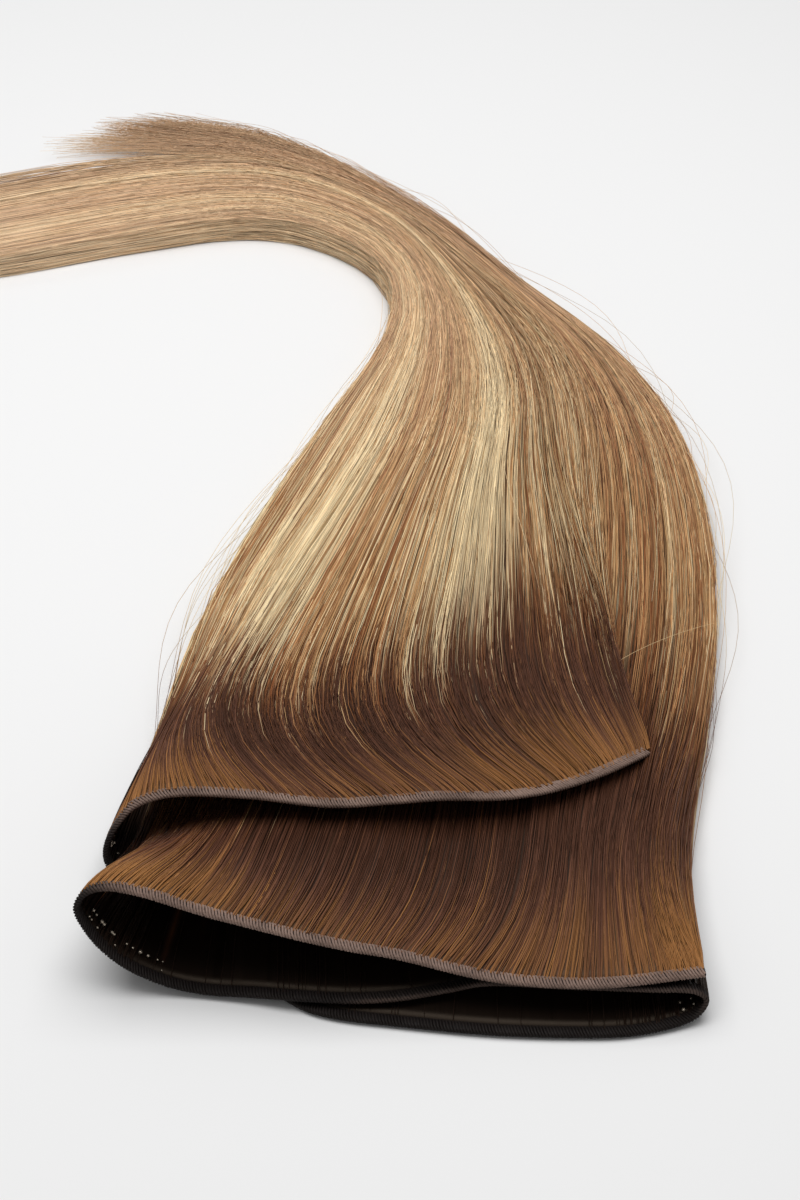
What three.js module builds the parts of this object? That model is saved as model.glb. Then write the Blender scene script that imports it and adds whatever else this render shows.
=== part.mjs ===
// Hair weft: a thin stitched band folded to and fro into four runs, each run carrying its fall of long hair.
// Millimetres, +Z up, +Y from the folded band towards the back of the pile, hair lying on z = 0.
// Three turns join the runs: the top run turns at the left into the floor run, that one at the right into
// the inner run, and that one at the left into the front run. The band's two cut ends are at the right.
import * as THREE from 'three';

const { clamp, lerp, smoothstep } = THREE.MathUtils;

// Driving sizes
const HAIR_LENGTH = 490;
const BAND_WIDTH = 2.6;
const BAND_THICKNESS = 1.2;
const BAND_STEP = 4;
const ROOT_THICKNESS = 1.1;
const TIP_THICKNESS = 0.6;

// Clearances: the band to its hair, one turn's hair to the next, and layer to layer
const SEAT_GAP = 0.35;
const TURN_GAP = 0.6;
const LAYER_GAP = 0.9;

// The lowest layer is flat below wherever its middle is lower than this
const LYING_HEIGHT = 2;

// The middle of the whole outline in plan, under which the part's origin sits
const CENTRE_X = -70.2;
const CENTRE_Y = 194.8;

// How a strand leaves its root: it bows aside over the wave distance and drifts to its lane in the pile
const WAVE_DISTANCE = 42;
const WAVE_SHARPNESS = 1.4;
const DRIFT_DISTANCE = 150;

// Distances between which a run that narrows draws in towards its left
const NARROW_START = 150;
const NARROW_END = 245;

// Shares along a run between which its middle values hold
const MIDDLE_START = 0.4;
const MIDDLE_END = 0.6;

// Locks: ridges along the hair that part into tapered tips of uneven length
const LOCKS = 7;
const LOCK_SEGMENTS = 3;
const LOCK_VALLEY = 0.62;
const RIDGE_DISTANCE = 60;
const TIP_NARROWING = 0.45;
const TIP_SCATTER = 10.6;
const LOCK_TRIM = [0, 0, 0, 0, 58, 42, 24];
const SCATTER_TURN = 2.4;
const ROW_DISTANCES = [9, 18, 31, 48, 70, 98, 130, 165, 198, 226, 250, 272, 294, 316, 340, 370, 406, 424];
const PARTING_DISTANCE = ROW_DISTANCES.at(-1);
const TIP_SHARES = [0.4, 0.75, 1];

// Steps: columns and stations crowd towards the turns, and strands are followed in short straight steps
const TURN_CROWDING = 0.6;
const STRAND_STEP = 2.5;
const SIDE_STEP = 0.004;
const PATH_DIVISIONS = 20;
const ROOT_SEARCH_STEPS = 40;
const ROOT_SEARCH_END = 0.3;
const PLACE_STEP = 0.001;

// Sections across the lying hair, from the band to the far tips.
// Columns: inner edge x and y, outer edge x and y, height of the pile, share of that height at its edges
const SECTIONS = [
  [-67, -12, 62, -14, 12, 0.6],
  [-62.5, 42, 62.5, 40, 12.5, 0.6],
  [-56, 92, 71.3, 88, 13, 0.55],
  [-48, 138, 77.5, 134, 13, 0.5],
  [-34.8, 180, 78.2, 180, 12.5, 0.5],
  [-20, 222, 73, 222, 12, 0.5],
  [-6.7, 256, 59.2, 259.5, 12.5, 0.5],
  [-1.8, 284.5, 35, 295.8, 13.5, 0.56],
  [-10.8, 310.4, 6, 340.8, 13.5, 0.58],
  [-40, 330.6, -34, 382, 12, 0.62],
  [-77, 322.5, -74, 398.3, 10.5, 0.63],
  [-117, 307.5, -116, 390, 9.5, 0.65],
  [-175, 288, -172, 362, 9, 0.7],
  [-245, 270, -240, 338, 8.5, 0.7],
];

// Front edge of the band along each run, from its left turn to its right turn or cut end.
// Columns: across, back, up
const OUTER_LEFT_TURN = [-62.7, 38.7, 10.5];
const FRONT_LEFT_TURN = [-65.6, 10, 20.2];
const RIGHT_TURN = [61.9, -1.1, 4.6];
const TOP_PATH = [
  OUTER_LEFT_TURN,
  [-59.9, 41.5, 15.4],
  [-55.3, 44.3, 18.4],
  [-46.8, 46.2, 19.3],
  [-32, 46.5, 18.4],
  [-15, 46.8, 15.7],
  [-2, 47.6, 15.9],
  [9, 48.5, 16.2],
  [21.6, 50.3, 14.8],
  [32.4, 54.7, 13],
  [43.8, 62.2, 11.1],
  [56, 73, 8.7],
];
const FLOOR_PATH = [
  OUTER_LEFT_TURN,
  [-61.8, 38.2, 4.8],
  [-57, 36.6, 1.4],
  [-50, 31.5, 0.9],
  [-40, 21.5, 0.9],
  [-30, 10.5, 0.9],
  [-22, 2.4, 0.9],
  [-14, -1.5, 0.9],
  [0, -3.9, 0.9],
  [20, -6.4, 0.9],
  [40, -7, 0.9],
  [50.3, -5.8, 0.9],
  [58.8, -3.2, 1.7],
  RIGHT_TURN,
];
const INNER_PATH = [
  FRONT_LEFT_TURN,
  [-64.4, 9.1, 16.2],
  [-60.8, 7.8, 11],
  [-55, 6.3, 6.5],
  [-47, 5.4, 2.8],
  [-38.8, 4.5, 1.5],
  [-30.6, 3.2, 2.1],
  [-20.2, 1.1, 3.1],
  [-10, 0.4, 3.1],
  [0, 1, 3.3],
  [10.1, 2.4, 4.3],
  [18.4, 2.4, 6.2],
  [35, 0.6, 7],
  [50, -0.6, 7.4],
  [59, -0.8, 7.2],
  RIGHT_TURN,
];
const FRONT_PATH = [
  FRONT_LEFT_TURN,
  [-63.3, 11.2, 23],
  [-58.5, 11.4, 23.9],
  [-51, 10.6, 22.6],
  [-40.3, 8.7, 19.8],
  [-30.2, 7, 17.8],
  [-20, 4.8, 16.4],
  [-10, 3.8, 14.4],
  [0, 3, 12.8],
  [19.9, 0.2, 9.2],
  [40.1, -1.3, 9.1],
  [61.7, 1, 10.1],
];

// Runs from the surface upwards. Layer counts from the surface. Lanes are the shares of the pile's width
// where the left and right of the run lie at the back. Settle is the distance over which the hair sinks to
// its layer, and wave the sideways bow as a share of the pile's width, both at the left, middle and right.
// Narrowing is the share of its width that the run loses further back. The trimmed runs have shorter locks
// at their right.
const RUNS = {
  floor: {
    path: FLOOR_PATH,
    layer: 0,
    lanes: [0, 0.97],
    settle: [50, 26, 26],
    wave: [0, 0, 0],
    narrowing: 0,
    trimmed: true,
    color: 0x6b4a30,
  },
  inner: {
    path: INNER_PATH,
    layer: 1,
    lanes: [0.03, 0.99],
    settle: [54, 20, 44],
    wave: [0.03, -0.02, 0],
    narrowing: 0,
    trimmed: true,
    color: 0x7a5638,
  },
  front: {
    path: FRONT_PATH,
    layer: 2,
    lanes: [0.06, 1],
    settle: [52, 78, 84],
    wave: [0.055, -0.05, -0.042],
    narrowing: 0,
    trimmed: true,
    color: 0x8a6440,
  },
  top: {
    path: TOP_PATH,
    layer: 3,
    lanes: [0.02, 0.66],
    settle: [70, 95, 80],
    wave: [0.02, -0.14, -0.05],
    narrowing: 0.23,
    trimmed: false,
    color: 0xb08a62,
  },
};
const LAYERS = Object.keys(RUNS).length;
const HAIR_ROUGHNESS = 0.45;
const BAND_COLOR = 0x8a7c74;
const BAND_ROUGHNESS = 0.8;

// The whole band is one smooth curve: along the top run to the left, the floor run to the right,
// the inner run to the left and the front run to the right
const BAND_ROUTE = [
  { run: RUNS.top, rightwards: false },
  { run: RUNS.floor, rightwards: true },
  { run: RUNS.inner, rightwards: false },
  { run: RUNS.front, rightwards: true },
];

function smoothCurve(rows) {
  const points = rows.map((row) => new THREE.Vector3(...row));
  const curve = new THREE.CatmullRomCurve3(points, false, 'catmullrom');
  curve.arcLengthDivisions = (rows.length - 1) * PATH_DIVISIONS;
  return curve;
}

function layBand() {
  const rows = [];
  const ends = [];
  for (const { run, rightwards } of BAND_ROUTE) {
    const leg = rightwards ? run.path : [...run.path].reverse();
    const first = Math.max(rows.length - 1, 0);
    rows.push(...(rows.length > 0 ? leg.slice(1) : leg));
    const last = rows.length - 1;
    ends.push({ run, left: rightwards ? first : last, right: rightwards ? last : first });
  }
  const curve = smoothCurve(rows);
  const lengths = curve.getLengths();
  const shareAt = (row) => lengths[row * PATH_DIVISIONS] / lengths.at(-1);
  for (const { run, left, right } of ends) {
    run.left = shareAt(left);
    run.right = shareAt(right);
    run.length = Math.abs(run.right - run.left) * lengths.at(-1);
  }
  return curve;
}

const BAND_CURVE = layBand();
const INNER_EDGE = smoothCurve(SECTIONS.map(([innerX, innerY]) => [innerX, innerY, 0]));
const OUTER_EDGE = smoothCurve(SECTIONS.map(([, , outerX, outerY]) => [outerX, outerY, 0]));
const PILE = smoothCurve(SECTIONS.map(([, , , , height, edge]) => [height, edge, 0]));

// Point in plan at a place along the pile (0 to 1) and a lane across it (0 inner edge, 1 outer edge)
function lanePoint(place, lane) {
  return INNER_EDGE.getPoint(place).lerp(OUTER_EDGE.getPoint(place), lane);
}

// Height that each layer of the pile has there
function layerPitch(place, lane) {
  const { x: height, y: edge } = PILE.getPoint(place);
  const offCentre = 2 * clamp(lane, 0, 1) - 1;
  return (height * (1 - (1 - edge) * offCentre ** 2)) / LAYERS;
}

// Place and lane of a root, found on the straight section line that passes through it
function rootLane(root) {
  let near = 0;
  let far = ROOT_SEARCH_END;
  for (let i = 0; i < ROOT_SEARCH_STEPS; i++) {
    const place = (near + far) / 2;
    const inner = INNER_EDGE.getPoint(place);
    const across = OUTER_EDGE.getPoint(place).sub(inner);
    const reach = root.clone().sub(inner);
    if (across.x * reach.y - across.y * reach.x > 0) near = place;
    else far = place;
  }
  const inner = INNER_EDGE.getPoint(near);
  const across = OUTER_EDGE.getPoint(near).sub(inner).setZ(0);
  const lane = root.clone().sub(inner).dot(across) / across.lengthSq();
  return { place: near, lane };
}

// A value given at the left, middle and right of a run
function acrossRun([left, middle, right], u) {
  const toMiddle = lerp(left, middle, smoothstep(u, 0, MIDDLE_START));
  return toMiddle + (right - middle) * smoothstep(u, MIDDLE_END, 1);
}

function bow(distance) {
  const share = distance / WAVE_DISTANCE;
  return (share * Math.exp(1 - share)) ** WAVE_SHARPNESS;
}

function rootPoint(run, u) {
  return BAND_CURVE.getPointAt(lerp(run.left, run.right, u));
}

// One strand in the middle of its run's sheet, from the band's front edge to beyond the longest tip
function followStrand(run, u) {
  const root = rootPoint(run, u);
  let { place, lane: startLane } = rootLane(root);
  const settle = acrossRun(run.settle, u);
  const wave = acrossRun(run.wave, u);
  const stops = [];
  for (let distance = 0; distance <= HAIR_LENGTH + 2 * TIP_SCATTER; distance += STRAND_STEP) {
    const width = 1 - run.narrowing * smoothstep(distance, NARROW_START, NARROW_END);
    const farLane = lerp(...run.lanes, u * width);
    const lane = lerp(startLane, farLane, smoothstep(distance, 0, DRIFT_DISTANCE)) + wave * bow(distance);
    const pitch = layerPitch(place, lane);
    const settled = smoothstep(distance, 0, settle);
    const middle = lanePoint(place, lane).setZ(lerp(root.z, (run.layer + 0.5) * pitch, settled));
    const thickness = lerp(ROOT_THICKNESS, pitch - LAYER_GAP, settled);
    stops.push({ middle, thickness });
    const ahead = lanePoint(place + PLACE_STEP, lane);
    const speed = ahead.distanceTo(lanePoint(place - PLACE_STEP, lane)) / (2 * PLACE_STEP);
    place = Math.min(place + STRAND_STEP / speed, 1 - PLACE_STEP);
  }
  return stops;
}

const strandCache = new Map();

function strandStop(run, u, distance) {
  const key = `${run.layer} ${u.toFixed(6)}`;
  if (!strandCache.has(key)) strandCache.set(key, followStrand(run, u));
  const stops = strandCache.get(key);
  const i = Math.min(Math.floor(distance / STRAND_STEP), stops.length - 2);
  const f = distance / STRAND_STEP - i;
  return {
    middle: stops[i].middle.clone().lerp(stops[i + 1].middle, f),
    thickness: lerp(stops[i].thickness, stops[i + 1].thickness, f),
  };
}

// Middle, upward or outward normal and thickness of a run's sheet of hair
function sheetFrame(run, u, distance) {
  const { middle, thickness } = strandStop(run, u, distance);
  const left = strandStop(run, Math.max(u - SIDE_STEP, 0), distance).middle;
  const across = strandStop(run, Math.min(u + SIDE_STEP, 1), distance).middle.sub(left);
  const before = strandStop(run, u, distance - STRAND_STEP).middle;
  const along = strandStop(run, u, distance + STRAND_STEP).middle.sub(before);
  return { middle, normal: across.cross(along).normalize(), thickness };
}

// Front edge of the band, its direction across the strip towards the hair, and its normal
function bandFrame(run, u) {
  const edge = rootPoint(run, u);
  const rightwards = Math.sign(run.right - run.left);
  const along = BAND_CURVE.getTangentAt(lerp(run.left, run.right, u)).multiplyScalar(rightwards);
  const fall = strandStop(run, u, BAND_WIDTH).middle.sub(edge);
  const inward = fall.addScaledVector(along, -fall.dot(along)).normalize();
  return { edge, inward, normal: along.cross(inward).normalize() };
}

// Share along a run with its steps crowded towards both ends
function crowded(share) {
  return share - (TURN_CROWDING * Math.sin(2 * Math.PI * share)) / (2 * Math.PI);
}

// Collects corner points and four-cornered faces into one closed geometry
class FaceBuilder {
  constructor() {
    this.positions = [];
    this.index = [];
  }

  addPoint(point) {
    this.positions.push(point.x - CENTRE_X, point.y - CENTRE_Y, Math.max(point.z, 0));
    return this.positions.length / 3 - 1;
  }

  addQuad(a, b, c, d) {
    this.index.push(a, b, c, a, c, d);
  }

  toGeometry() {
    const geometry = new THREE.BufferGeometry();
    geometry.setAttribute('position', new THREE.Float32BufferAttribute(this.positions, 3));
    geometry.setIndex(this.index);
    geometry.computeVertexNormals();
    return geometry;
  }
}

// Strip with a four-cornered section along the whole route of the band
function bandGeometry() {
  const builder = new FaceBuilder();
  const rings = [];
  BAND_ROUTE.forEach(({ run, rightwards }, leg) => {
    const steps = Math.ceil(run.length / BAND_STEP);
    for (let i = leg > 0 ? 1 : 0; i <= steps; i++) {
      const share = crowded(i / steps);
      const { edge, inward, normal } = bandFrame(run, rightwards ? share : 1 - share);
      const half = normal.multiplyScalar(rightwards ? BAND_THICKNESS / 2 : -BAND_THICKNESS / 2);
      const back = edge.clone().addScaledVector(inward, BAND_WIDTH);
      const above = [edge.clone().add(half), back.clone().add(half)];
      const below = [back.clone().sub(half), edge.clone().sub(half)];
      rings.push([...above, ...below].map((corner) => builder.addPoint(corner)));
    }
  });
  for (let i = 0; i + 1 < rings.length; i++) {
    rings[i].forEach((corner, side) => {
      const next = (side + 1) % rings[i].length;
      builder.addQuad(corner, rings[i + 1][side], rings[i + 1][next], rings[i][next]);
    });
  }
  builder.addQuad(...rings[0]);
  builder.addQuad(...rings.at(-1).reverse());
  return builder.toGeometry();
}

// A column of the sheet as pairs of points above and below its middle
function columnPair(builder, run, { middle, normal, thickness }) {
  const half = normal.clone().multiplyScalar(thickness / 2);
  const above = middle.clone().add(half);
  const below = middle.clone().sub(half);
  if (run.layer === 0 && middle.z < LYING_HEIGHT) below.z = 0;
  return { above: builder.addPoint(above), below: builder.addPoint(below) };
}

function coverSheet(builder, left, right) {
  for (let row = 0; row + 1 < left.length; row++) {
    builder.addQuad(left[row].above, right[row].above, right[row + 1].above, left[row + 1].above);
    builder.addQuad(left[row].below, left[row + 1].below, right[row + 1].below, right[row].below);
  }
}

function coverSide(builder, column, leftSide) {
  for (let row = 0; row + 1 < column.length; row++) {
    const corners = [column[row].above, column[row + 1].above, column[row + 1].below, column[row].below];
    builder.addQuad(...(leftSide ? corners : corners.reverse()));
  }
}

function coverEnd(builder, left, right, tipEnd) {
  const corners = [left.above, right.above, right.below, left.below];
  builder.addQuad(...(tipEnd ? corners : corners.reverse()));
}

// One run's hair: a sheet with ridged locks from the band to the parting, and a tapered tip on each lock
function hairGeometry(run) {
  const builder = new FaceBuilder();
  const columns = LOCKS * LOCK_SEGMENTS;
  const inset = TURN_GAP / 2 / run.length;
  const shares = Array.from({ length: columns + 1 }, (_, i) => lerp(inset, 1 - inset, crowded(i / columns)));

  const sheet = shares.map((u, column) => {
    const valley = column % LOCK_SEGMENTS === 0 ? LOCK_VALLEY : 1;
    const { edge, inward, normal } = bandFrame(run, u);
    const root = edge.addScaledVector(inward, BAND_WIDTH + SEAT_GAP);
    const rows = [columnPair(builder, run, { middle: root, normal, thickness: ROOT_THICKNESS })];
    for (const distance of ROW_DISTANCES) {
      const frame = sheetFrame(run, u, distance);
      frame.thickness *= lerp(1, valley, smoothstep(distance, 0, RIDGE_DISTANCE));
      rows.push(columnPair(builder, run, frame));
    }
    return rows;
  });
  for (let column = 0; column < columns; column++) {
    coverSheet(builder, sheet[column], sheet[column + 1]);
    coverEnd(builder, sheet[column][0], sheet[column + 1][0], false);
  }
  coverSide(builder, sheet[0], true);
  coverSide(builder, sheet[columns], false);

  for (let lock = 0; lock < LOCKS; lock++) {
    const first = lock * LOCK_SEGMENTS;
    const centre = (shares[first] + shares[first + LOCK_SEGMENTS]) / 2;
    const scatter = TIP_SCATTER * Math.sin(SCATTER_TURN * (lock + run.layer * LOCKS));
    const length = HAIR_LENGTH + scatter - (run.trimmed ? LOCK_TRIM[lock] : 0);
    const tip = [];
    for (let column = first; column <= first + LOCK_SEGMENTS; column++) {
      const rows = [sheet[column].at(-1)];
      for (const share of TIP_SHARES) {
        const u = lerp(centre, shares[column], lerp(1, TIP_NARROWING, share));
        const frame = sheetFrame(run, u, lerp(PARTING_DISTANCE, length, share));
        frame.thickness = lerp(frame.thickness, TIP_THICKNESS, share);
        rows.push(columnPair(builder, run, frame));
      }
      tip.push(rows);
    }
    for (let column = 0; column < LOCK_SEGMENTS; column++) {
      coverSheet(builder, tip[column], tip[column + 1]);
      coverEnd(builder, tip[column].at(-1), tip[column + 1].at(-1), true);
    }
    coverSide(builder, tip[0], true);
    coverSide(builder, tip[LOCK_SEGMENTS], false);
  }
  return builder.toGeometry();
}

function namedMesh(name, geometry, color, roughness) {
  const mesh = new THREE.Mesh(geometry, new THREE.MeshStandardMaterial({ color, roughness, metalness: 0 }));
  mesh.name = name;
  return mesh;
}

const weft = new THREE.Group();
weft.add(namedMesh('weft_band', bandGeometry(), BAND_COLOR, BAND_ROUGHNESS));
for (const [name, run] of Object.entries(RUNS)) {
  weft.add(namedMesh(`hair_${name}_run`, hairGeometry(run), run.color, HAIR_ROUGHNESS));
}

export default weft;
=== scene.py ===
# Hair weft: strands of hair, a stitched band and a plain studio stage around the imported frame.
# Lengths in the tables are millimetres in the plan of the pile.
# Every object is made in metres in the row frame.
import math

import bpy
import numpy as np
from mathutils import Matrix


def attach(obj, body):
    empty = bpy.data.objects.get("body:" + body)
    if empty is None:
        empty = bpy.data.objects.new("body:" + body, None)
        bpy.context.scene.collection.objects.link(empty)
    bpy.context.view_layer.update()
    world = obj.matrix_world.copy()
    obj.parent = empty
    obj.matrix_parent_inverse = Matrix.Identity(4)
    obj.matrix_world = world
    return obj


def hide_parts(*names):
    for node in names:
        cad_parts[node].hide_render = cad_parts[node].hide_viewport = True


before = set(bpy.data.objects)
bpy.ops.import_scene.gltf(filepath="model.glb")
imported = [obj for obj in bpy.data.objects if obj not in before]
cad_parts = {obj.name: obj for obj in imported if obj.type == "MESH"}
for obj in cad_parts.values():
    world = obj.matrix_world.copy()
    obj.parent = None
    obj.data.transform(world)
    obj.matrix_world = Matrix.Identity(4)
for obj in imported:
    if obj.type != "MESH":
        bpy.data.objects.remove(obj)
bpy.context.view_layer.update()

bl_info = {
    "name": "Hair weft",
    "version": (1, 0, 0),
    "blender": (4, 5, 0),
    "location": "3D View > Sidebar > Hair weft",
    "description": "Strands, stitched band and studio stage of a folded hair weft",
    "category": "Object",
}

MM = 0.001
UV_NAME = "OFBake"

# The pile, as in the part's source
HAIR_LENGTH = 490.0
BAND_WIDTH = 2.6
ROOT_THICKNESS = 1.1
LAYER_GAP = 0.9
LAYERS = 4
CENTRE = np.array([-70.2, 194.8, 0.0])
WAVE_DISTANCE = 42.0
WAVE_SHARPNESS = 1.4
DRIFT_DISTANCE = 150.0
NARROW_START = 150.0
NARROW_END = 245.0
MIDDLE_START = 0.4
MIDDLE_END = 0.6
STRAND_STEP = 2.5
FIELD_REACH = 530.0
FIELD_COLUMNS = 181
TURN_CROWDING = 0.6
PLACE_STEP = 0.001
ROW_MARGIN = 0.001
ROOT_SEARCH_END = 0.3
ROOT_SEARCH_STEPS = 40
PATH_DIVISIONS = 20

# Sections across the pile: inner edge x and y, outer edge x and y, height, and share of it at the edges
SECTIONS = np.array([
    [-67, -12, 62, -14, 12, 0.6],
    [-62.5, 42, 62.5, 40, 12.5, 0.6],
    [-56, 92, 71.3, 88, 13, 0.55],
    [-48, 138, 77.5, 134, 13, 0.5],
    [-34.8, 180, 78.2, 180, 12.5, 0.5],
    [-20, 222, 73, 222, 12, 0.5],
    [-6.7, 256, 59.2, 259.5, 12.5, 0.5],
    [-1.8, 284.5, 35, 295.8, 13.5, 0.56],
    [-10.8, 310.4, 6, 340.8, 13.5, 0.58],
    [-40, 330.6, -34, 382, 12, 0.62],
    [-77, 322.5, -74, 398.3, 10.5, 0.63],
    [-117, 307.5, -116, 390, 9.5, 0.65],
    [-175, 288, -172, 362, 9, 0.7],
    [-245, 270, -240, 338, 8.5, 0.7],
])

# Front edge of the band along each run, from its left turn to its right turn or cut end
OUTER_LEFT_TURN = [-62.7, 38.7, 10.5]
FRONT_LEFT_TURN = [-65.6, 10, 20.2]
RIGHT_TURN = [61.9, -1.1, 4.6]
TOP_PATH = [
    OUTER_LEFT_TURN, [-59.9, 41.5, 15.4], [-55.3, 44.3, 18.4], [-46.8, 46.2, 19.3], [-32, 46.5, 18.4],
    [-15, 46.8, 15.7], [-2, 47.6, 15.9], [9, 48.5, 16.2], [21.6, 50.3, 14.8], [32.4, 54.7, 13],
    [43.8, 62.2, 11.1], [56, 73, 8.7],
]
FLOOR_PATH = [
    OUTER_LEFT_TURN, [-61.8, 38.2, 4.8], [-57, 36.6, 1.4], [-50, 31.5, 0.9], [-40, 21.5, 0.9],
    [-30, 10.5, 0.9], [-22, 2.4, 0.9], [-14, -1.5, 0.9], [0, -3.9, 0.9], [20, -6.4, 0.9], [40, -7, 0.9],
    [50.3, -5.8, 0.9], [58.8, -3.2, 1.7], RIGHT_TURN,
]
INNER_PATH = [
    FRONT_LEFT_TURN, [-64.4, 9.1, 16.2], [-60.8, 7.8, 11], [-55, 6.3, 6.5], [-47, 5.4, 2.8],
    [-38.8, 4.5, 1.5], [-30.6, 3.2, 2.1], [-20.2, 1.1, 3.1], [-10, 0.4, 3.1], [0, 1, 3.3], [10.1, 2.4, 4.3],
    [18.4, 2.4, 6.2], [35, 0.6, 7], [50, -0.6, 7.4], [59, -0.8, 7.2], RIGHT_TURN,
]
FRONT_PATH = [
    FRONT_LEFT_TURN, [-63.3, 11.2, 23], [-58.5, 11.4, 23.9], [-51, 10.6, 22.6], [-40.3, 8.7, 19.8],
    [-30.2, 7, 17.8], [-20, 4.8, 16.4], [-10, 3.8, 14.4], [0, 3, 12.8], [19.9, 0.2, 9.2], [40.1, -1.3, 9.1],
    [61.7, 1, 10.1],
]

# The runs in the order that the band takes them: its path and direction, the layer in the pile, the lanes
# across it, the distances in which the hair sinks and the bows aside at the left, middle and right of the
# run, and how much the run narrows
RUNS = {
    "top": {
        "path": TOP_PATH, "rightwards": False, "layer": 3, "lanes": (0.02, 0.66),
        "settle": (70, 95, 80), "wave": (0.02, -0.14, -0.05), "narrowing": 0.23,
    },
    "floor": {
        "path": FLOOR_PATH, "rightwards": True, "layer": 0, "lanes": (0, 0.97),
        "settle": (50, 26, 26), "wave": (0, 0, 0), "narrowing": 0,
    },
    "inner": {
        "path": INNER_PATH, "rightwards": False, "layer": 1, "lanes": (0.03, 0.99),
        "settle": (46, 20, 44), "wave": (0.03, -0.02, 0), "narrowing": 0,
    },
    "front": {
        "path": FRONT_PATH, "rightwards": True, "layer": 2, "lanes": (0.06, 1),
        "settle": (44, 74, 83), "wave": (0.055, -0.05, -0.042), "narrowing": 0,
    },
}

# How the strands of each run are sown: pieces, strands in each, share of them on the upper face,
# and shares of them along the left and right edges of the run
SOWING = {
    "top": {"pieces": 2, "strands": 1340, "upper": 0.9, "left": 0.07, "right": 0.0, "seed": 11},
    "front": {"pieces": 2, "strands": 880, "upper": 0.88, "left": 0.08, "right": 0.16, "seed": 23},
    "inner": {"pieces": 1, "strands": 400, "upper": 0.5, "left": 0.4, "right": 0.35, "seed": 37},
    "floor": {"pieces": 1, "strands": 400, "upper": 0.5, "left": 0.4, "right": 0.35, "seed": 41},
}

# Runs whose upper face shows
OUTER_RUNS = ("top", "front")

# Strands along an edge: the share of the run that they take, their crowding towards the edge, the height
# that they spread over and the distances from the band between which they do
EDGE_SHARE = 0.13
EDGE_CROWDING = 1.4
EDGE_HEIGHT = 1.5
EDGE_DISTANCES = (15, 70)

# Distances from the band of a strand's points, and how far they shift from strand to strand
STRAND_STOPS = np.array([
    1.6, 4, 7, 11, 17, 25, 35, 47, 61, 78, 98, 122, 150, 180, 208, 232, 254, 274, 294, 314, 336, 362,
    395, 440, 490,
])
STOP_STAGGER = 0.45

# Strands leave the stitches in small bundles and then draw together into wisps
BUNDLE_PITCH = 1.4
BUNDLE_SPREAD = 0.6
BUNDLE_DISTANCES = (2.4, 8.5)
WISP_WIDTH = 2.0
WISP_LEAST = 0.4
WISP_PULLS = (0.2, 0.9)
WISP_DISTANCES = (12, 110)
WISP_LIFT = 0.26
SHARE_LIMITS = (0.0005, 0.9995)

# Height of a strand between the middle and a face of its sheet, and its swing to the side and up
STRAND_HEIGHTS = (0.3, 1.0)
SWING_GAMMA = (2.0, 0.16)
SWING_WAVES = (70, 190)
SWING_DISTANCES = (5, 60)
STRAY_SHARE = 0.06
STRAY_SWING = 2.6
BREATH = 0.12
BREATH_PACE = 0.7

# Width of a strand against the strand radius, and how it thins towards its tip
STRAND_WIDTHS = (0.8, 1.25)
THINNING = 0.6
THINNING_START = 0.8

# Lengths: uneven locks, a spread from strand to strand, and some strands that end early
LOCKS = 7
LOCK_TURN = 2.4
LOCK_SCATTER = 10.6
TIP_SPREAD = 9.0
TIP_LIMITS = (-20, 14)
STRETCH_START = 200
EARLY_TIPS = 0.16
EARLY_REACH = 85.0
TOP_RETREAT = 12.0

# How much shorter the outer locks of the lower runs are cut: shares along the run and lengths
TIP_TRIM = [
    (0, 0), (0.56, 0), (0.59, 60), (0.64, 58), (0.71, 50), (0.79, 39), (0.86, 28), (0.93, 17), (1, 10),
]

# How far the strands of a run lean to the right as they leave the band, or to the left below 0:
# shares along the run, and shares of its length
LEAN = {
    "top": [
        (0, 0), (0.06, -0.01), (0.18, -0.035), (0.4, -0.03), (0.6, -0.03), (0.8, -0.05), (0.93, -0.03),
        (1, 0),
    ],
    "front": [(0, 0), (0.1, 0.04), (0.3, 0.09), (0.64, 0.13), (0.87, 0.04), (1, 0)],
}

# Lightened strands of a run: share along the run, half width as a share of it, and strength
HIGHLIGHTS = {
    "top": [(0.2, 0.13, 0.12), (0.31, 0.07, 0.37), (0.775, 0.065, 0.56)],
    "front": [(0.3, 0.1, 0.5), (0.815, 0.012, 0.32)],
    # Left ends of inner and floor runs: partly painted light on the flank, which light from above barely
    # reaches
    "inner": [(0.01, 0.06, 0.22), (0.3, 0.1, 0.5), (0.98, 0.02, 0.3)],
    "floor": [(0.03, 0.1, 0.42), (0.98, 0.02, 0.3)],
}

# Tone of the lengths, and its spread from strand to strand
BASE_TONE = {"top": 0.37, "front": 0.25, "inner": 0.24, "floor": 0.26}
TONE_SPREAD = {"top": 0.18, "front": 0.12, "inner": 0.18, "floor": 0.18}

# Streaks along a run: their spacing as a share of it, and their strength
TONE_STREAKS = [(0.012, 0.42), (0.045, 0.2)]
ROOT_STREAKS = [(0.015, 0.3), (0.06, 0.2)]

# How golden the roots of a run are: the least, the strength of streaks and of single strands, and
# stretches of lighter roots, with their strength and the shares where it starts and is full
PLAIN_ROOTS = {"least": 0.01, "streaks": 1.0, "strands": 1.0, "lighter": []}
ROOT_LOOKS = {
    "top": {**PLAIN_ROOTS, "lighter": [(0.22, 0.6, 0.78), (0.28, 0.35, 0.1)]},
    "front": {
        "least": 0.106, "streaks": 0.6, "strands": 0.55,
        "lighter": [(0.42, 0.34, 0.05), (0.08, 0.5, 0.8), (0.3, 0.88, 0.97)],
    },
    "inner": PLAIN_ROOTS,
    "floor": PLAIN_ROOTS,
}

# Spread from strand to strand, bright roots and their share, and the limits of the tone
ROOT_SPREAD = 0.11
ROOT_BRIGHT = 0.4
ROOT_BRIGHT_SHARE = 0.16
ROOT_LIMITS = (0.13, 0.999)

# The tone that marks roots with painted shade inside the folds, and the bands of root tones in a strand's
# code
PAINTED_SHADE_ROOT = 0.05
ROOT_BANDS = 8
CODE_MARGIN = 0.05

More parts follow.
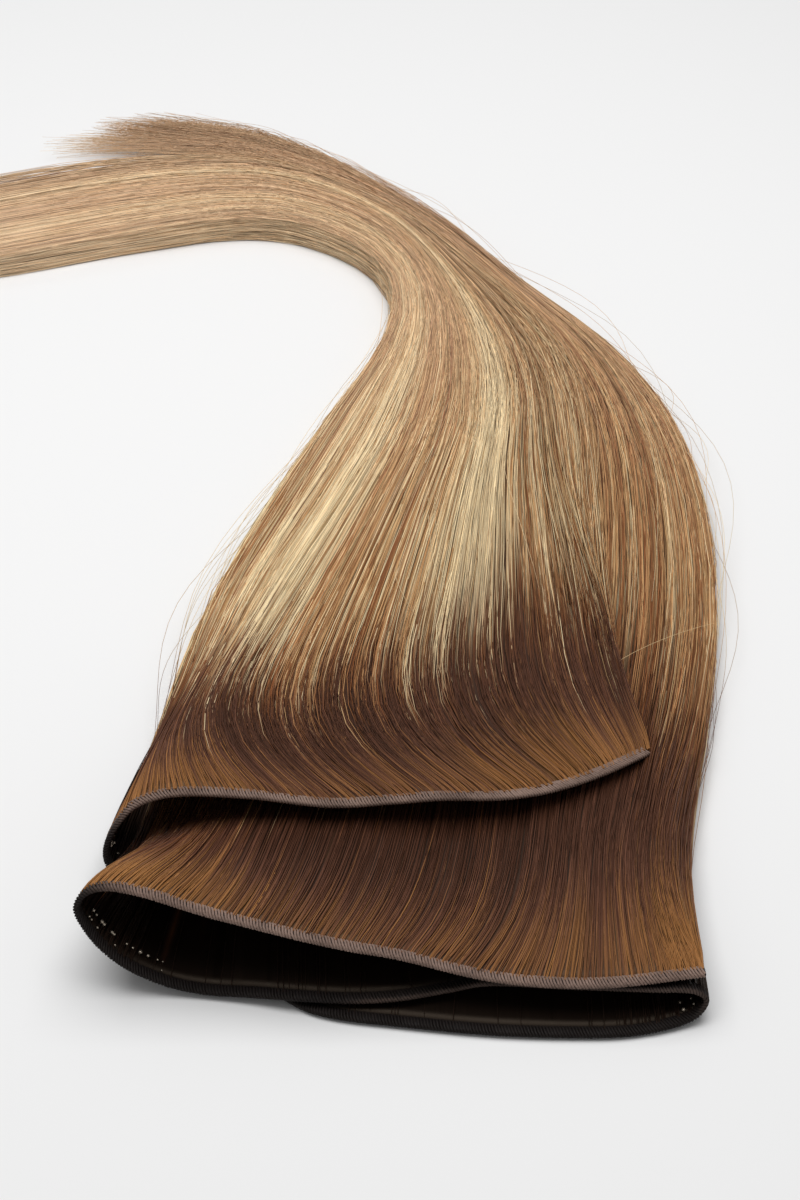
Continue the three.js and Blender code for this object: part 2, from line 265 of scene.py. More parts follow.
# Where the dark roots end: shares along a run and distances from the band
ROOT_ENDS = {
    "top": [(0, 60), (0.3, 58), (0.5, 52), (0.72, 56), (0.86, 69), (0.93, 72), (1, 60)],
    "front": [(0, 60), (0.2, 75), (0.6, 105), (0.84, 112), (0.92, 108), (1, 90)],
    "inner": [(0, 60), (0.2, 75), (0.6, 105), (0.9, 105), (0.95, 66), (1, 52)],
    "floor": [(0, 60), (0.2, 75), (0.6, 105), (0.9, 105), (0.95, 66), (1, 52)],
}
ROOT_END_SPACING = 0.03
ROOT_END_STREAKS = 26.0
ROOT_END_SPREAD = {"top": 12.0, "front": 18.0, "inner": 18.0, "floor": 18.0}
ROOT_END_LEAST = 12.0

# Share of strands whose roots end early, and the share of the distance at which they do
EARLY_DYE = {"top": 0.03, "front": 0.0, "inner": 0.0, "floor": 0.0}
EARLY_DYE_SHARE = 0.5

# Share along the dye at which the roots end, and the lengths of hair at which it is 1
ROOT_V = 0.2
DYE_LENGTHS = {"top": 530.0, "front": 640.0, "inner": 640.0, "floor": 640.0}


def linear(code):
    """Linear colour of a six-digit sRGB code."""
    parts = [int(code[i:i + 2], 16) / 255 for i in (0, 2, 4)]
    return tuple(part / 12.92 if part <= 0.04045 else ((part + 0.055) / 1.055) ** 2.4 for part in parts)


def smooth_step(value, start, end):
    share = np.clip((value - start) / (end - start), 0, 1)
    return share * share * (3 - 2 * share)


def smooth_curve(rows, share):
    """Points at shares from 0 to 1 along a smooth curve that passes through the rows at even shares."""
    rows = np.asarray(rows, float)
    padded = np.vstack([2 * rows[0] - rows[1], rows, 2 * rows[-1] - rows[-2]])
    spot = np.clip(share, 0, 1) * (len(rows) - 1)
    first = np.minimum(spot.astype(int), len(rows) - 2)
    t = (spot - first)[..., None]
    p0, p1, p2, p3 = (padded[first + k] for k in range(4))
    return p1 + 0.5 * t * (p2 - p0 + t * (2 * p0 - 5 * p1 + 4 * p2 - p3 + t * (3 * (p1 - p2) + p3 - p0)))


def crowded(share):
    """Shares with their steps crowded towards both ends."""
    return share - TURN_CROWDING * np.sin(2 * np.pi * share) / (2 * np.pi)


def unit(vectors):
    return vectors / np.maximum(np.linalg.norm(vectors, axis=-1, keepdims=True), 1e-9)


# The band's route

def lay_band():
    """Rows of the band's front edge from end to end, and for each run its first and last length along it."""
    rows = []
    spans = {}
    for name, run in RUNS.items():
        leg = run["path"] if run["rightwards"] else run["path"][::-1]
        first = max(len(rows) - 1, 0)
        rows += leg[1:] if rows else leg
        spans[name] = (first, len(rows) - 1)
    shares = np.linspace(0, 1, (len(rows) - 1) * PATH_DIVISIONS + 1)
    steps = np.linalg.norm(np.diff(smooth_curve(rows, shares), axis=0), axis=1)
    lengths = np.concatenate([[0], np.cumsum(steps)])
    for name, run in RUNS.items():
        first, last = (lengths[row * PATH_DIVISIONS] for row in spans[name])
        run["left"], run["right"] = (first, last) if run["rightwards"] else (last, first)
        run["length"] = last - first
    return np.array(rows, float), shares, lengths


BAND_ROWS, BAND_SHARES, BAND_LENGTHS = lay_band()


def band_point(length):
    return smooth_curve(BAND_ROWS, np.interp(length, BAND_LENGTHS, BAND_SHARES))


def root_point(run, u):
    return band_point(run["left"] + (run["right"] - run["left"]) * u)


# The field of hair of each run

def edge_points(place):
    section = smooth_curve(SECTIONS, place)
    return section[..., 0:2], section[..., 2:4]


def lane_point(place, lane):
    inner, outer = edge_points(place)
    return inner + (outer - inner) * lane[..., None]


def layer_pitch(place, lane):
    section = smooth_curve(SECTIONS, place)
    off_centre = 2 * np.clip(lane, 0, 1) - 1
    return section[..., 4] * (1 - (1 - section[..., 5]) * off_centre ** 2) / LAYERS


def root_lane(root):
    """Place along the pile and lane across it of each root, on the section line that passes through it."""
    near = np.zeros(len(root))
    far = np.full(len(root), ROOT_SEARCH_END)
    for _ in range(ROOT_SEARCH_STEPS):
        place = (near + far) / 2
        inner, outer = edge_points(place)
        across = outer - inner
        reach = root[:, :2] - inner
        ahead = across[:, 0] * reach[:, 1] - across[:, 1] * reach[:, 0] > 0
        near = np.where(ahead, place, near)
        far = np.where(ahead, far, place)
    inner, outer = edge_points(near)
    across = outer - inner
    lane = ((root[:, :2] - inner) * across).sum(1) / (across ** 2).sum(1)
    return near, lane


def across_run(values, u):
    left, middle, right = values
    to_middle = (middle - left) * smooth_step(u, 0, MIDDLE_START)
    return left + to_middle + (right - middle) * smooth_step(u, MIDDLE_END, 1)


def bow_share(distance):
    """How far out a strand has bowed, from 0 at its root to 1 at the wave distance, then falling away."""
    return (distance / WAVE_DISTANCE * np.exp(1 - distance / WAVE_DISTANCE)) ** WAVE_SHARPNESS


def hair_field(run):
    """Middle, normal, sideways direction and thickness of a run's sheet of hair, by share and distance."""
    u = crowded(np.linspace(0, 1, FIELD_COLUMNS))
    root = root_point(run, u)
    place, start_lane = root_lane(root)
    settle = across_run(run["settle"], u)
    wave = across_run(run["wave"], u)
    distances = np.arange(0, FIELD_REACH + STRAND_STEP, STRAND_STEP)
    middle = np.empty((len(u), len(distances), 3))
    thickness = np.empty((len(u), len(distances), 1))
    for step, distance in enumerate(distances):
        drift = smooth_step(distance, 0, DRIFT_DISTANCE)
        width = 1 - run["narrowing"] * smooth_step(distance, NARROW_START, NARROW_END)
        far_lane = run["lanes"][0] + (run["lanes"][1] - run["lanes"][0]) * u * width
        lane = start_lane + (far_lane - start_lane) * drift + wave * bow_share(distance)
        pitch = layer_pitch(place, lane)
        settled = smooth_step(distance, 0, settle)
        middle[:, step, :2] = lane_point(place, lane)
        middle[:, step, 2] = root[:, 2] + ((run["layer"] + 0.5) * pitch - root[:, 2]) * settled
        thickness[:, step, 0] = ROOT_THICKNESS + (pitch - LAYER_GAP - ROOT_THICKNESS) * settled
        ahead = lane_point(place + PLACE_STEP, lane) - lane_point(place - PLACE_STEP, lane)
        pace = 2 * PLACE_STEP / np.linalg.norm(ahead, axis=1)
        place = np.minimum(place + STRAND_STEP * pace, 1 - PLACE_STEP)
    side = unit(np.gradient(middle, u, axis=0))
    normal = unit(np.cross(side, np.gradient(middle, axis=1)))
    return {"u": u, "grid": np.concatenate([middle - CENTRE, normal, side, thickness], axis=2)}


def field_at(field, u, distance):
    """Middle, normal, sideways direction and thickness at shares u and distances from the band."""
    grid = field["grid"]
    column = np.interp(u, field["u"], np.arange(len(field["u"])))
    row = np.clip(distance / STRAND_STEP, 0, grid.shape[1] - 1 - ROW_MARGIN)
    c = np.minimum(column.astype(int), grid.shape[0] - 2)
    r = row.astype(int)
    fc = (column - c)[..., None]
    fr = (row - r)[..., None]
    near = grid[c, r] * (1 - fc) + grid[c + 1, r] * fc
    far = grid[c, r + 1] * (1 - fc) + grid[c + 1, r + 1] * fc
    found = near * (1 - fr) + far * fr
    return found[..., 0:3], found[..., 3:6], found[..., 6:9], found[..., 9:10]


FIELDS = {name: hair_field(run) for name, run in RUNS.items()}


# Strand tones

def streaks(rng, u, spacing):
    """Soft random streaks along a run, from 0 to 1, with the given spacing as a share of it."""
    knots = int(1 / spacing) + 2
    return np.interp(u, np.linspace(0, 1, knots), rng.random(knots))


def strand_tone(name, u, rng):
    """How light the lengths of a strand are, from 0 to 1."""
    tone = BASE_TONE[name]
    for spacing, strength in TONE_STREAKS:
        tone = tone + strength * (streaks(rng, u, spacing) - 0.5)
    for centre, width, strength in HIGHLIGHTS[name]:
        tone = tone + strength * np.exp(-(((u - centre) / width) ** 2))
    return np.clip(tone + rng.normal(0, TONE_SPREAD[name], u.shape), 0, 1)


def root_tone(name, u, rng):
    """How golden the root of a strand is, from just above 0 to 1."""
    looks = ROOT_LOOKS[name]
    tone = looks["least"]
    for spacing, strength in ROOT_STREAKS:
        tone = tone + looks["streaks"] * strength * streaks(rng, u, spacing)
    for strength, start, full in looks["lighter"]:
        tone = tone + strength * smooth_step(u, start, full)
    bright = rng.random(u.shape) < ROOT_BRIGHT_SHARE
    single = rng.normal(0, ROOT_SPREAD, u.shape) + ROOT_BRIGHT * bright
    return np.clip(tone + looks["strands"] * single, *ROOT_LIMITS)


def tone_code(root, tone):
    """One number that holds both tones: the root's in eight bands, and the length's within its band."""
    return (np.floor(root * ROOT_BANDS) + CODE_MARGIN + (1 - 2 * CODE_MARGIN) * tone) / ROOT_BANDS


def root_end(name, u, rng):
    """Distance from the band at which a strand's dark root ends."""
    end = np.interp(u, *np.array(ROOT_ENDS[name]).T)
    end = end + ROOT_END_STREAKS * (streaks(rng, u, ROOT_END_SPACING) - 0.5)
    end = end * np.where(rng.random(u.shape) < EARLY_DYE[name], EARLY_DYE_SHARE, 1)
    return np.maximum(end + rng.normal(0, ROOT_END_SPREAD[name], u.shape), ROOT_END_LEAST)


def tip_trim(name, u):
    """How much shorter the hair is cut there."""
    return np.zeros_like(u) if name == "top" else np.interp(u, *np.array(TIP_TRIM).T)


def dye_share(name, distance, end):
    """Share along the dye: a fixed share at the end of the root, and 1 at the run's dye length."""
    beyond = ROOT_V + (1 - ROOT_V) * (distance - end) / (DYE_LENGTHS[name] - end)
    return np.where(distance < end, ROOT_V * distance / end, beyond)


# Meshes

def guide_mesh(name, points, values):
    """A mesh of open chains of edges, one for each strand, with named values at its points."""
    count, stops = points.shape[:2]
    mesh = bpy.data.meshes.new(name)
    mesh.vertices.add(count * stops)
    mesh.edges.add(count * (stops - 1))
    mesh.vertices.foreach_set("co", (points * MM).ravel())
    first = (np.arange(count)[:, None] * stops + np.arange(stops - 1)[None]).ravel()
    mesh.edges.foreach_set("vertices", np.column_stack([first, first + 1]).ravel())
    for label, value in values.items():
        numbers = np.broadcast_to(value, (count, stops)).astype(np.float32)
        mesh.attributes.new(label, "FLOAT", "POINT").data.foreach_set("value", numbers.ravel())
    return mesh


def add_object(name, data):
    added = bpy.data.objects.new(name, data)
    bpy.context.scene.collection.objects.link(added)
    return added


def add_piece(name, mesh, replaced=()):
    piece = add_object(name, mesh)
    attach(piece, "root")
    if replaced:
        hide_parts(*replaced)


def grown_mesh(name, guide, tree, inputs):
    """The plain mesh that a node tree makes from a guide mesh."""
    holder = add_object(name + "_guide", guide)
    modifier = holder.modifiers.new("Grow", "NODES")
    modifier.node_group = tree
    for socket in tree.interface.items_tree:
        if socket.in_out == "INPUT" and socket.name in inputs:
            modifier[socket.identifier] = inputs[socket.name]
    depsgraph = bpy.context.evaluated_depsgraph_get()
    mesh = bpy.data.meshes.new_from_object(holder.evaluated_get(depsgraph), depsgraph=depsgraph)
    mesh.name = name
    bpy.data.objects.remove(holder)
    bpy.data.meshes.remove(guide)
    if not mesh.polygons:
        raise RuntimeError(f"{name} has no faces")
    for attribute in [a.name for a in mesh.attributes if a.name.startswith("strand_")]:
        mesh.attributes.remove(mesh.attributes[attribute])
    return mesh


def charted_mesh(name, points, faces, uv, material):
    """A smooth mesh of points in millimetres, with a UV map that has a row for each corner of a face."""
    mesh = bpy.data.meshes.new(name)
    mesh.from_pydata((points.reshape(-1, 3) * MM).tolist(), [], faces)
    mesh.uv_layers.new(name=UV_NAME).data.foreach_set("uv", uv.astype(np.float32).ravel())
    mesh.polygons.foreach_set("use_smooth", np.ones(len(faces), bool))
    mesh.materials.append(material)
    return mesh


def slab_mesh(name, upper, lower, codes, along, material):
    """A closed slab between two grids of points, with tones and dye shares as its UV map."""
    columns, rows = upper.shape[:2]
    top = np.arange(columns * rows).reshape(columns, rows)
    low = top + columns * rows
    covers = [
        (top[:-1, :-1], top[1:, :-1], top[1:, 1:], top[:-1, 1:]),
        (low[:-1, :-1], low[:-1, 1:], low[1:, 1:], low[1:, :-1]),
        (top[0, :-1], top[0, 1:], low[0, 1:], low[0, :-1]),
        (top[-1, 1:], top[-1, :-1], low[-1, :-1], low[-1, 1:]),
        (top[:-1, 0], low[:-1, 0], low[1:, 0], top[1:, 0]),
        (top[:-1, -1], top[1:, -1], low[1:, -1], low[:-1, -1]),
    ]
    faces = np.concatenate([np.stack([part.ravel() for part in cover], axis=1) for cover in covers])
    corner = faces.ravel()
    code = np.concatenate([np.repeat(code, rows) for code in codes])
    uv = np.stack([code[corner], np.tile(along.ravel(), 2)[corner]], axis=1)
    return charted_mesh(name, np.stack([upper, lower]), faces.tolist(), uv, material)


# Node trees

# Step of the code from side to side of a strand, for streaks of their own, and the number of sides
CODE_WIDTH = 0.0008
STRAND_SIDES = 3


def add_node(tree, kind, **settings):
    node = tree.nodes.new(kind)
    for key, value in settings.items():
        setattr(node, key, value)
    return node


def connect(tree, joins):
    """Links nodes: each row names a node and its output, and a node and its input."""
    for start, output, end, entry in joins:
        tree.links.new(start.outputs[output], end.inputs[entry])


def named_value(tree, label):
    node = add_node(tree, "GeometryNodeInputNamedAttribute", data_type="FLOAT")
    node.inputs["Name"].default_value = label
    return node


def new_tree(name, entries):
    """A geometry tree with named inputs, by kind and default, and its input and output nodes."""
    tree = bpy.data.node_groups.new(name, "GeometryNodeTree")
    tree.is_modifier = True
    for label, (kind, default) in entries.items():
        socket = tree.interface.new_socket(label, in_out="INPUT", socket_type=f"NodeSocket{kind}")
        if default is not None:
            socket.default_value = default
    tree.interface.new_socket("Geometry", in_out="OUTPUT", socket_type="NodeSocketGeometry")
    return tree, add_node(tree, "NodeGroupInput"), add_node(tree, "NodeGroupOutput")


def end_tree(tree, given, result, last, output):
    """Ends a tree with real meshes, smooth shading and its material."""
    realise = add_node(tree, "GeometryNodeRealizeInstances")
    smooth = add_node(tree, "GeometryNodeSetShadeSmooth")
    finish = add_node(tree, "GeometryNodeSetMaterial")
    connect(tree, [
        (last, output, realise, "Geometry"),
        (realise, "Geometry", smooth, "Geometry"),
        (smooth, "Geometry", finish, "Geometry"),
        (given, "Material", finish, "Material"),
        (finish, "Geometry", result, "Geometry"),
    ])


def strand_tree():
    """Sweeps a closed profile along chains of edges, with each strand's code and dye share as its UV map."""
    tree, given, result = new_tree("Strands", {
        "Guides": ("Geometry", None),
        "Sides": ("Int", STRAND_SIDES),
        "Code Width": ("Float", CODE_WIDTH),
        "Material": ("Material", None),
    })
    curve = add_node(tree, "GeometryNodeMeshToCurve")
    profile = add_node(tree, "GeometryNodeCurvePrimitiveCircle", mode="RADIUS")
    profile.inputs["Radius"].default_value = 1.0
    index = add_node(tree, "GeometryNodeInputIndex")
    mark = add_node(tree, "GeometryNodeStoreNamedAttribute", data_type="FLOAT", domain="POINT")
    mark.inputs["Name"].default_value = "strand_side"
    sweep = add_node(tree, "GeometryNodeCurveToMesh")
    sweep.inputs["Fill Caps"].default_value = True
    spread = add_node(tree, "ShaderNodeMath", operation="MULTIPLY_ADD")
    pair = add_node(tree, "ShaderNodeCombineXYZ")
    chart = add_node(tree, "GeometryNodeStoreNamedAttribute", data_type="FLOAT2", domain="CORNER")
    chart.inputs["Name"].default_value = UV_NAME
    connect(tree, [
        (given, "Guides", curve, "Mesh"),
        (given, "Sides", profile, "Resolution"),
        (profile, "Curve", mark, "Geometry"),
        (index, "Index", mark, "Value"),
        (curve, "Curve", sweep, "Curve"),
        (mark, "Geometry", sweep, "Profile Curve"),
        (named_value(tree, "strand_radius"), "Attribute", sweep, "Scale"),
        (named_value(tree, "strand_side"), "Attribute", spread, 0),
        (given, "Code Width", spread, 1),
        (named_value(tree, "strand_code"), "Attribute", spread, 2),
        (spread, "Value", pair, "X"),
        (named_value(tree, "strand_along"), "Attribute", pair, "Y"),
        (sweep, "Mesh", chart, "Geometry"),
        (pair, "Vector", chart, "Value"),
    ])
    end_tree(tree, given, result, chart, "Geometry")
    return tree


# Materials

# Changes of colour along the dye: the shares between which each happens, and its strength at both
DYE = {
    # Painted shade: roots inside the folds are near-black near the band, fading out between these shares
    "inside": (0.06, 0.15, 1.0, 0.0),
    # Roots lighter just at the band: partly their golden colour, partly a painted highlight where they rise
    "golden_and_painted_highlight": (0.005, 0.08, 0.46, 0.0),
    # Roots darker beyond: partly the dye's darker root zone, partly painted shade under the top run
    "darkening_and_painted_shade": (0.035, 0.11, 1.0, 0.52),
    "ending": (ROOT_V - 0.07, ROOT_V, 0.0, 1.0),
    "grown": (ROOT_V - 0.03, ROOT_V + 0.05, 0.0, 1.0),
    "painted": (0.27, 0.52, 0.3, 0.0),
    "paling": (0.26, 0.62, 0.0, 0.42),
    "tips": (0.56, 0.95, 0.0, 0.28),
}

# Tones between which the lengths are painted lighter, and how golden the roots inside the folds become
PAINTED_TONES = (0.34, 0.5)
HIDDEN_GOLD = 0.45

# Fine streaks in the hair: scale across and along, and the noise, shade and roughness that they go between
STREAK_SCALE = (900.0, 1.2, 1.0)
STREAK_NOISE = (0.25, 0.75)
STREAK_SHADES = (0.55, 1.36)
ROUGH_NOISE = (0.2, 0.8)
HAIR_ROUGHNESS = (0.36, 0.54)

# Thread: scale of its fibres and worn patches, noise and roughness that they go between, depth of fibres
FIBRE_SCALE = 2600.0
FIBRE_DETAIL = 3.0
PATCH_SCALE = 160.0
THREAD_NOISE = (0.3, 0.7)
THREAD_ROUGHNESS = (0.55, 0.75)
FIBRE_DEPTH = 0.00008

# Factor and colour inputs of a mix node, and its colour output
MIX_INPUTS = (0, 6, 7)
MIX_OUTPUT = 2


def new_material(name):
    material = bpy.data.materials.new(name)
    material.use_nodes = True
    return material, material.node_tree, material.node_tree.nodes["Principled BSDF"]


def feed(tree, socket, value):
    """Links a socket to another one, or sets it to a number or a colour."""
    if isinstance(value, bpy.types.NodeSocket):
        tree.links.new(value, socket)
    elif isinstance(value, (int, float)):
        socket.default_value = value
    else:
        socket.default_value = (*value, 1.0)


def math_node(tree, operation, *values, clamp=False):
    node = add_node(tree, "ShaderNodeMath", operation=operation, use_clamp=clamp)
    for socket, value in zip(node.inputs, values):
        feed(tree, socket, value)
    return node.outputs["Value"]


def range_node(tree, value, low, high, to_low=0.0, to_high=1.0):
    """A smooth change from one value to another as the given value goes from low to high."""
    node = add_node(tree, "ShaderNodeMapRange", interpolation_type="SMOOTHSTEP")
    labels = ("Value", "From Min", "From Max", "To Min", "To Max")
    for label, given in zip(labels, (value, low, high, to_low, to_high)):
        feed(tree, node.inputs[label], given)
    return node.outputs["Result"]


def mix_node(tree, factor, first, second):
    node = add_node(tree, "ShaderNodeMix", data_type="RGBA")
    for place, value in zip(MIX_INPUTS, (factor, first, second)):
        feed(tree, node.inputs[place], value)
    return node.outputs[MIX_OUTPUT]


def ramp_node(tree, value, stops):
    node = add_node(tree, "ShaderNodeValToRGB")
    marks = node.color_ramp.elements
    while len(marks) < len(stops):
        marks.new(0.5)
    for mark, (place, colour) in zip(marks, stops):
        mark.position = place
        mark.color = (*colour, 1.0)
    tree.links.new(value, node.inputs["Fac"])
    return node.outputs["Color"]


def noise_node(tree, vector, scale, detail=2.0, dimensions="3D"):
    node = add_node(tree, "ShaderNodeTexNoise", noise_dimensions=dimensions)
    node.inputs["Scale"].default_value = scale
    node.inputs["Detail"].default_value = detail
    tree.links.new(vector, node.inputs["Vector"])
    return node.outputs["Fac"]


def chart_nodes(tree):
    """The UV map and its two parts."""
    chart = add_node(tree, "ShaderNodeUVMap", uv_map=UV_NAME)
    parts = add_node(tree, "ShaderNodeSeparateXYZ")
    tree.links.new(chart.outputs["UV"], parts.inputs["Vector"])
    return chart.outputs["UV"], parts.outputs["X"], parts.outputs["Y"]


def hair_material(name, hair, painted_shade=1.0):
    """Dyed hair: dark roots, caramel lengths and lightened strands, by the strand's code and dye share, with
    painted shade and a painted highlight on the roots.
    """
    material, tree, surface = new_material(name)
    chart, code, along = chart_nodes(tree)
    dye = {key: range_node(tree, along, *change) for key, change in DYE.items()}
    banded = math_node(tree, "MULTIPLY", code, ROOT_BANDS)
    band = math_node(tree, "FLOOR", banded)
    shaded_roots = math_node(tree, "LESS_THAN", band, 0.5)
    root = math_node(tree, "DIVIDE", math_node(tree, "SUBTRACT", band, 1.0), ROOT_BANDS - 2.0, clamp=True)
    root = math_node(tree, "MULTIPLY_ADD", shaded_roots, HIDDEN_GOLD, root)
    # Partly the dye's darker roots, partly painted shade under the top run
    root = math_node(tree, "MULTIPLY", root, dye["darkening_and_painted_shade"])
    # Partly golden roots, partly a painted highlight where they rise from the band
    root = math_node(tree, "ADD", root, dye["golden_and_painted_highlight"], clamp=True)
    root_colour = ramp_node(tree, root, [
        (0.0, hair.root_dark), (0.4, hair.root_brown), (1.0, hair.root_gold),
    ])
    # Painted shade: roots inside the folds turn near-black near the band
    inside = math_node(tree, "MULTIPLY", shaded_roots, dye["inside"])
    root_colour = mix_node(tree, inside, root_colour, hair.inside)
    root_colour = mix_node(tree, dye["ending"], root_colour, hair.turning)

    tone = math_node(tree, "FRACT", banded)
    painted = math_node(tree, "MULTIPLY", range_node(tree, tone, *PAINTED_TONES), dye["painted"])
    tone = math_node(tree, "ADD", tone, painted, clamp=True)
    length_colour = ramp_node(tree, tone, [
        (0.05, hair.lowlight), (0.32, hair.caramel), (0.6, hair.honey), (0.9, hair.blonde),
    ])
    paling = math_node(tree, "ADD", dye["paling"], dye["tips"])
    length_colour = mix_node(tree, paling, length_colour, hair.tips)
    colour = mix_node(tree, dye["grown"], root_colour, length_colour)

    stretch = add_node(tree, "ShaderNodeMapping")
    stretch.inputs["Scale"].default_value = STREAK_SCALE
    tree.links.new(chart, stretch.inputs["Vector"])
    streak = noise_node(tree, stretch.outputs["Vector"], 1.0, dimensions="2D")
    # The painted shade factor darkens the bodies, standing for shade between and under the strands
    value = range_node(tree, streak, *STREAK_NOISE, *(painted_shade * limit for limit in STREAK_SHADES))
    scale = add_node(tree, "ShaderNodeVectorMath", operation="SCALE")
    tree.links.new(colour, scale.inputs[0])
    tree.links.new(value, scale.inputs["Scale"])
    tree.links.new(scale.outputs["Vector"], surface.inputs["Base Color"])
    roughness = range_node(tree, streak, *ROUGH_NOISE, *HAIR_ROUGHNESS)
    tree.links.new(roughness, surface.inputs["Roughness"])
    surface.inputs["Specular IOR Level"].default_value = 0.25
    surface.inputs["Specular Tint"].default_value = (*linear("ffe6cc"), 1.0)
    return material


def thread_material(name, painted_shade, dark, light):
    """Twisted thread: soft wear in its colour and fine fibres, with painted shade where the UV map says so.
    """
    material, tree, surface = new_material(name)
    _, lit, _ = chart_nodes(tree)
    place = add_node(tree, "ShaderNodeTexCoord").outputs["Object"]
    fibres = noise_node(tree, place, FIBRE_SCALE, FIBRE_DETAIL)
    patches = noise_node(tree, place, PATCH_SCALE)
    blend = math_node(tree, "MULTIPLY_ADD", patches, 0.5, math_node(tree, "MULTIPLY", fibres, 0.5))
    worn = mix_node(tree, range_node(tree, blend, *THREAD_NOISE), dark, light)
    # Painted shade colour wherever the UV map marks a face in shade
    tree.links.new(mix_node(tree, lit, painted_shade, worn), surface.inputs["Base Color"])
    roughness = range_node(tree, fibres, *THREAD_NOISE, *THREAD_ROUGHNESS)
    tree.links.new(roughness, surface.inputs["Roughness"])
    bump = add_node(tree, "ShaderNodeBump")
    bump.inputs["Strength"].default_value = 0.3
    bump.inputs["Distance"].default_value = FIBRE_DEPTH
    tree.links.new(fibres, bump.inputs["Height"])
    tree.links.new(bump.outputs["Normal"], surface.inputs["Normal"])
    surface.inputs["Specular IOR Level"].default_value = 0.2
    return material


# Settings

class WeftHairSettings(bpy.types.PropertyGroup):
    strand_radius: bpy.props.FloatProperty(
        name="Strand radius", description="Half the width of a strand", default=0.0001, unit="LENGTH")
    # Painted shade: near-black colour for roots inside the folds
    inside: bpy.props.FloatVectorProperty(
        name="Inside root", description="Colour of the roots inside the folds",
        default=linear("2a1e18"), subtype="COLOR")
    root_dark: bpy.props.FloatVectorProperty(
        name="Dark root", description="Darkest colour of the roots",
        default=linear("4a2d20"), subtype="COLOR")
    root_brown: bpy.props.FloatVectorProperty(
        name="Brown root", description="Middle colour of the roots",
        default=linear("684333"), subtype="COLOR")
    root_gold: bpy.props.FloatVectorProperty(
        name="Golden root", description="Lightest colour of the roots",
        default=linear("a37141"), subtype="COLOR")
    turning: bpy.props.FloatVectorProperty(
        name="Turning", description="Colour where the roots end",
        default=linear("80502f"), subtype="COLOR")
    lowlight: bpy.props.FloatVectorProperty(
        name="Lowlight", description="Darkest colour of the lengths",
        default=linear("945934"), subtype="COLOR")
    caramel: bpy.props.FloatVectorProperty(
        name="Caramel", description="Main colour of the lengths",
        default=linear("c69868"), subtype="COLOR")
    honey: bpy.props.FloatVectorProperty(
        name="Honey", description="Light colour of the lengths",
        default=linear("d8b27f"), subtype="COLOR")
    blonde: bpy.props.FloatVectorProperty(
        name="Blonde", description="Colour of the lightened strands",
        default=linear("f0dab0"), subtype="COLOR")
    tips: bpy.props.FloatVectorProperty(
        name="Tips", description="Colour towards the tips",
        default=linear("fce2c3"), subtype="COLOR")


class WeftBandSettings(bpy.types.PropertyGroup):
    thread_radius: bpy.props.FloatProperty(
        name="Thread radius", description="Half the width of the wound thread",
        default=0.00031, unit="LENGTH")
    knot_radius: bpy.props.FloatProperty(
        name="Knot radius", description="Half the width of a knot", default=0.0004, unit="LENGTH")
    # Painted shade: colour of the band's faces in shade, and of the core between the windings
    painted_shade: bpy.props.FloatVectorProperty(
        name="Shade", description="Colour of the folded edge and of the inner faces",
        default=linear("0b0707"), subtype="COLOR")
    thread_dark: bpy.props.FloatVectorProperty(
        name="Dark thread", description="Shaded colour of the thread",
        default=linear("69564d"), subtype="COLOR")
    thread_light: bpy.props.FloatVectorProperty(
        name="Light thread", description="Worn colour of the thread",
        default=linear("957d71"), subtype="COLOR")


class WeftStageSettings(bpy.types.PropertyGroup):
    floor_colour: bpy.props.FloatVectorProperty(
        name="Floor", description="Colour of the floor", default=(0.85, 0.85, 0.85), subtype="COLOR")
    key_power: bpy.props.FloatProperty(
        name="Key light", description="Power of the light above", default=7.8, unit="POWER")
    world_strength: bpy.props.FloatProperty(
        name="Room light", description="Strength of the even light all round", default=0.32)


# Operators

# Stage: floor, camera as in the photo and key light
FLOOR_SIZE = 6.0
FLOOR_DROP = 0.0002
CAMERA_PLACE = (0.0702, -0.5838, 0.387)
CAMERA_TILT = 54.0
CAMERA_LENS = 80.0
CAMERA_SENSOR = 36.0
KEY_PLACE = (0.0, 0.05, 0.85)
KEY_SIZE = 0.95


class WEFT_OT_stage(bpy.types.Operator):
    """Floor, soft light and camera"""

    bl_idname = "weft.stage"
    bl_label = "Stage"

    def execute(self, context):
        scene = context.scene
        settings = scene.weft_stage
        half = FLOOR_SIZE / 2
        mesh = bpy.data.meshes.new("floor")
        corners = [(-half, -half), (half, -half), (half, half), (-half, half)]
        mesh.from_pydata([(x, y, -FLOOR_DROP) for x, y in corners], [], [(0, 1, 2, 3)])
        material, _, surface = new_material("floor_paper")
        surface.inputs["Base Color"].default_value = (*settings.floor_colour, 1.0)
        surface.inputs["Roughness"].default_value = 0.9
        surface.inputs["Specular IOR Level"].default_value = 0.0
        mesh.materials.append(material)
        floor = add_object("floor", mesh)

        world = bpy.data.worlds.new("room")
        world.use_nodes = True
        background = world.node_tree.nodes["Background"]
        background.inputs["Color"].default_value = (1.0, 1.0, 1.0, 1.0)
        background.inputs["Strength"].default_value = settings.world_strength
        scene.world = world

        light = bpy.data.lights.new("key", "AREA")
        light.shape = "SQUARE"
        light.size = KEY_SIZE
        light.energy = settings.key_power
        add_object("key", light).location = KEY_PLACE

        lens = bpy.data.cameras.new("camera")
        lens.lens = CAMERA_LENS
        lens.sensor_width = CAMERA_SENSOR
        lens.sensor_height = CAMERA_SENSOR
        lens.sensor_fit = "AUTO"
        camera = add_object("camera", lens)
        camera.location = CAMERA_PLACE
        camera.rotation_euler = (math.radians(CAMERA_TILT), 0.0, 0.0)
        scene.camera = camera
        scene.view_settings.view_transform = "Standard"
        return {"FINISHED"}


# Band: a flat core strip, and threads wound round it side by side
CORE_STEP = 1.2
CORE_SIDES = 14
CORE_HALF_WIDTH = 1.15
CORE_HALF_THICKNESS = 0.4
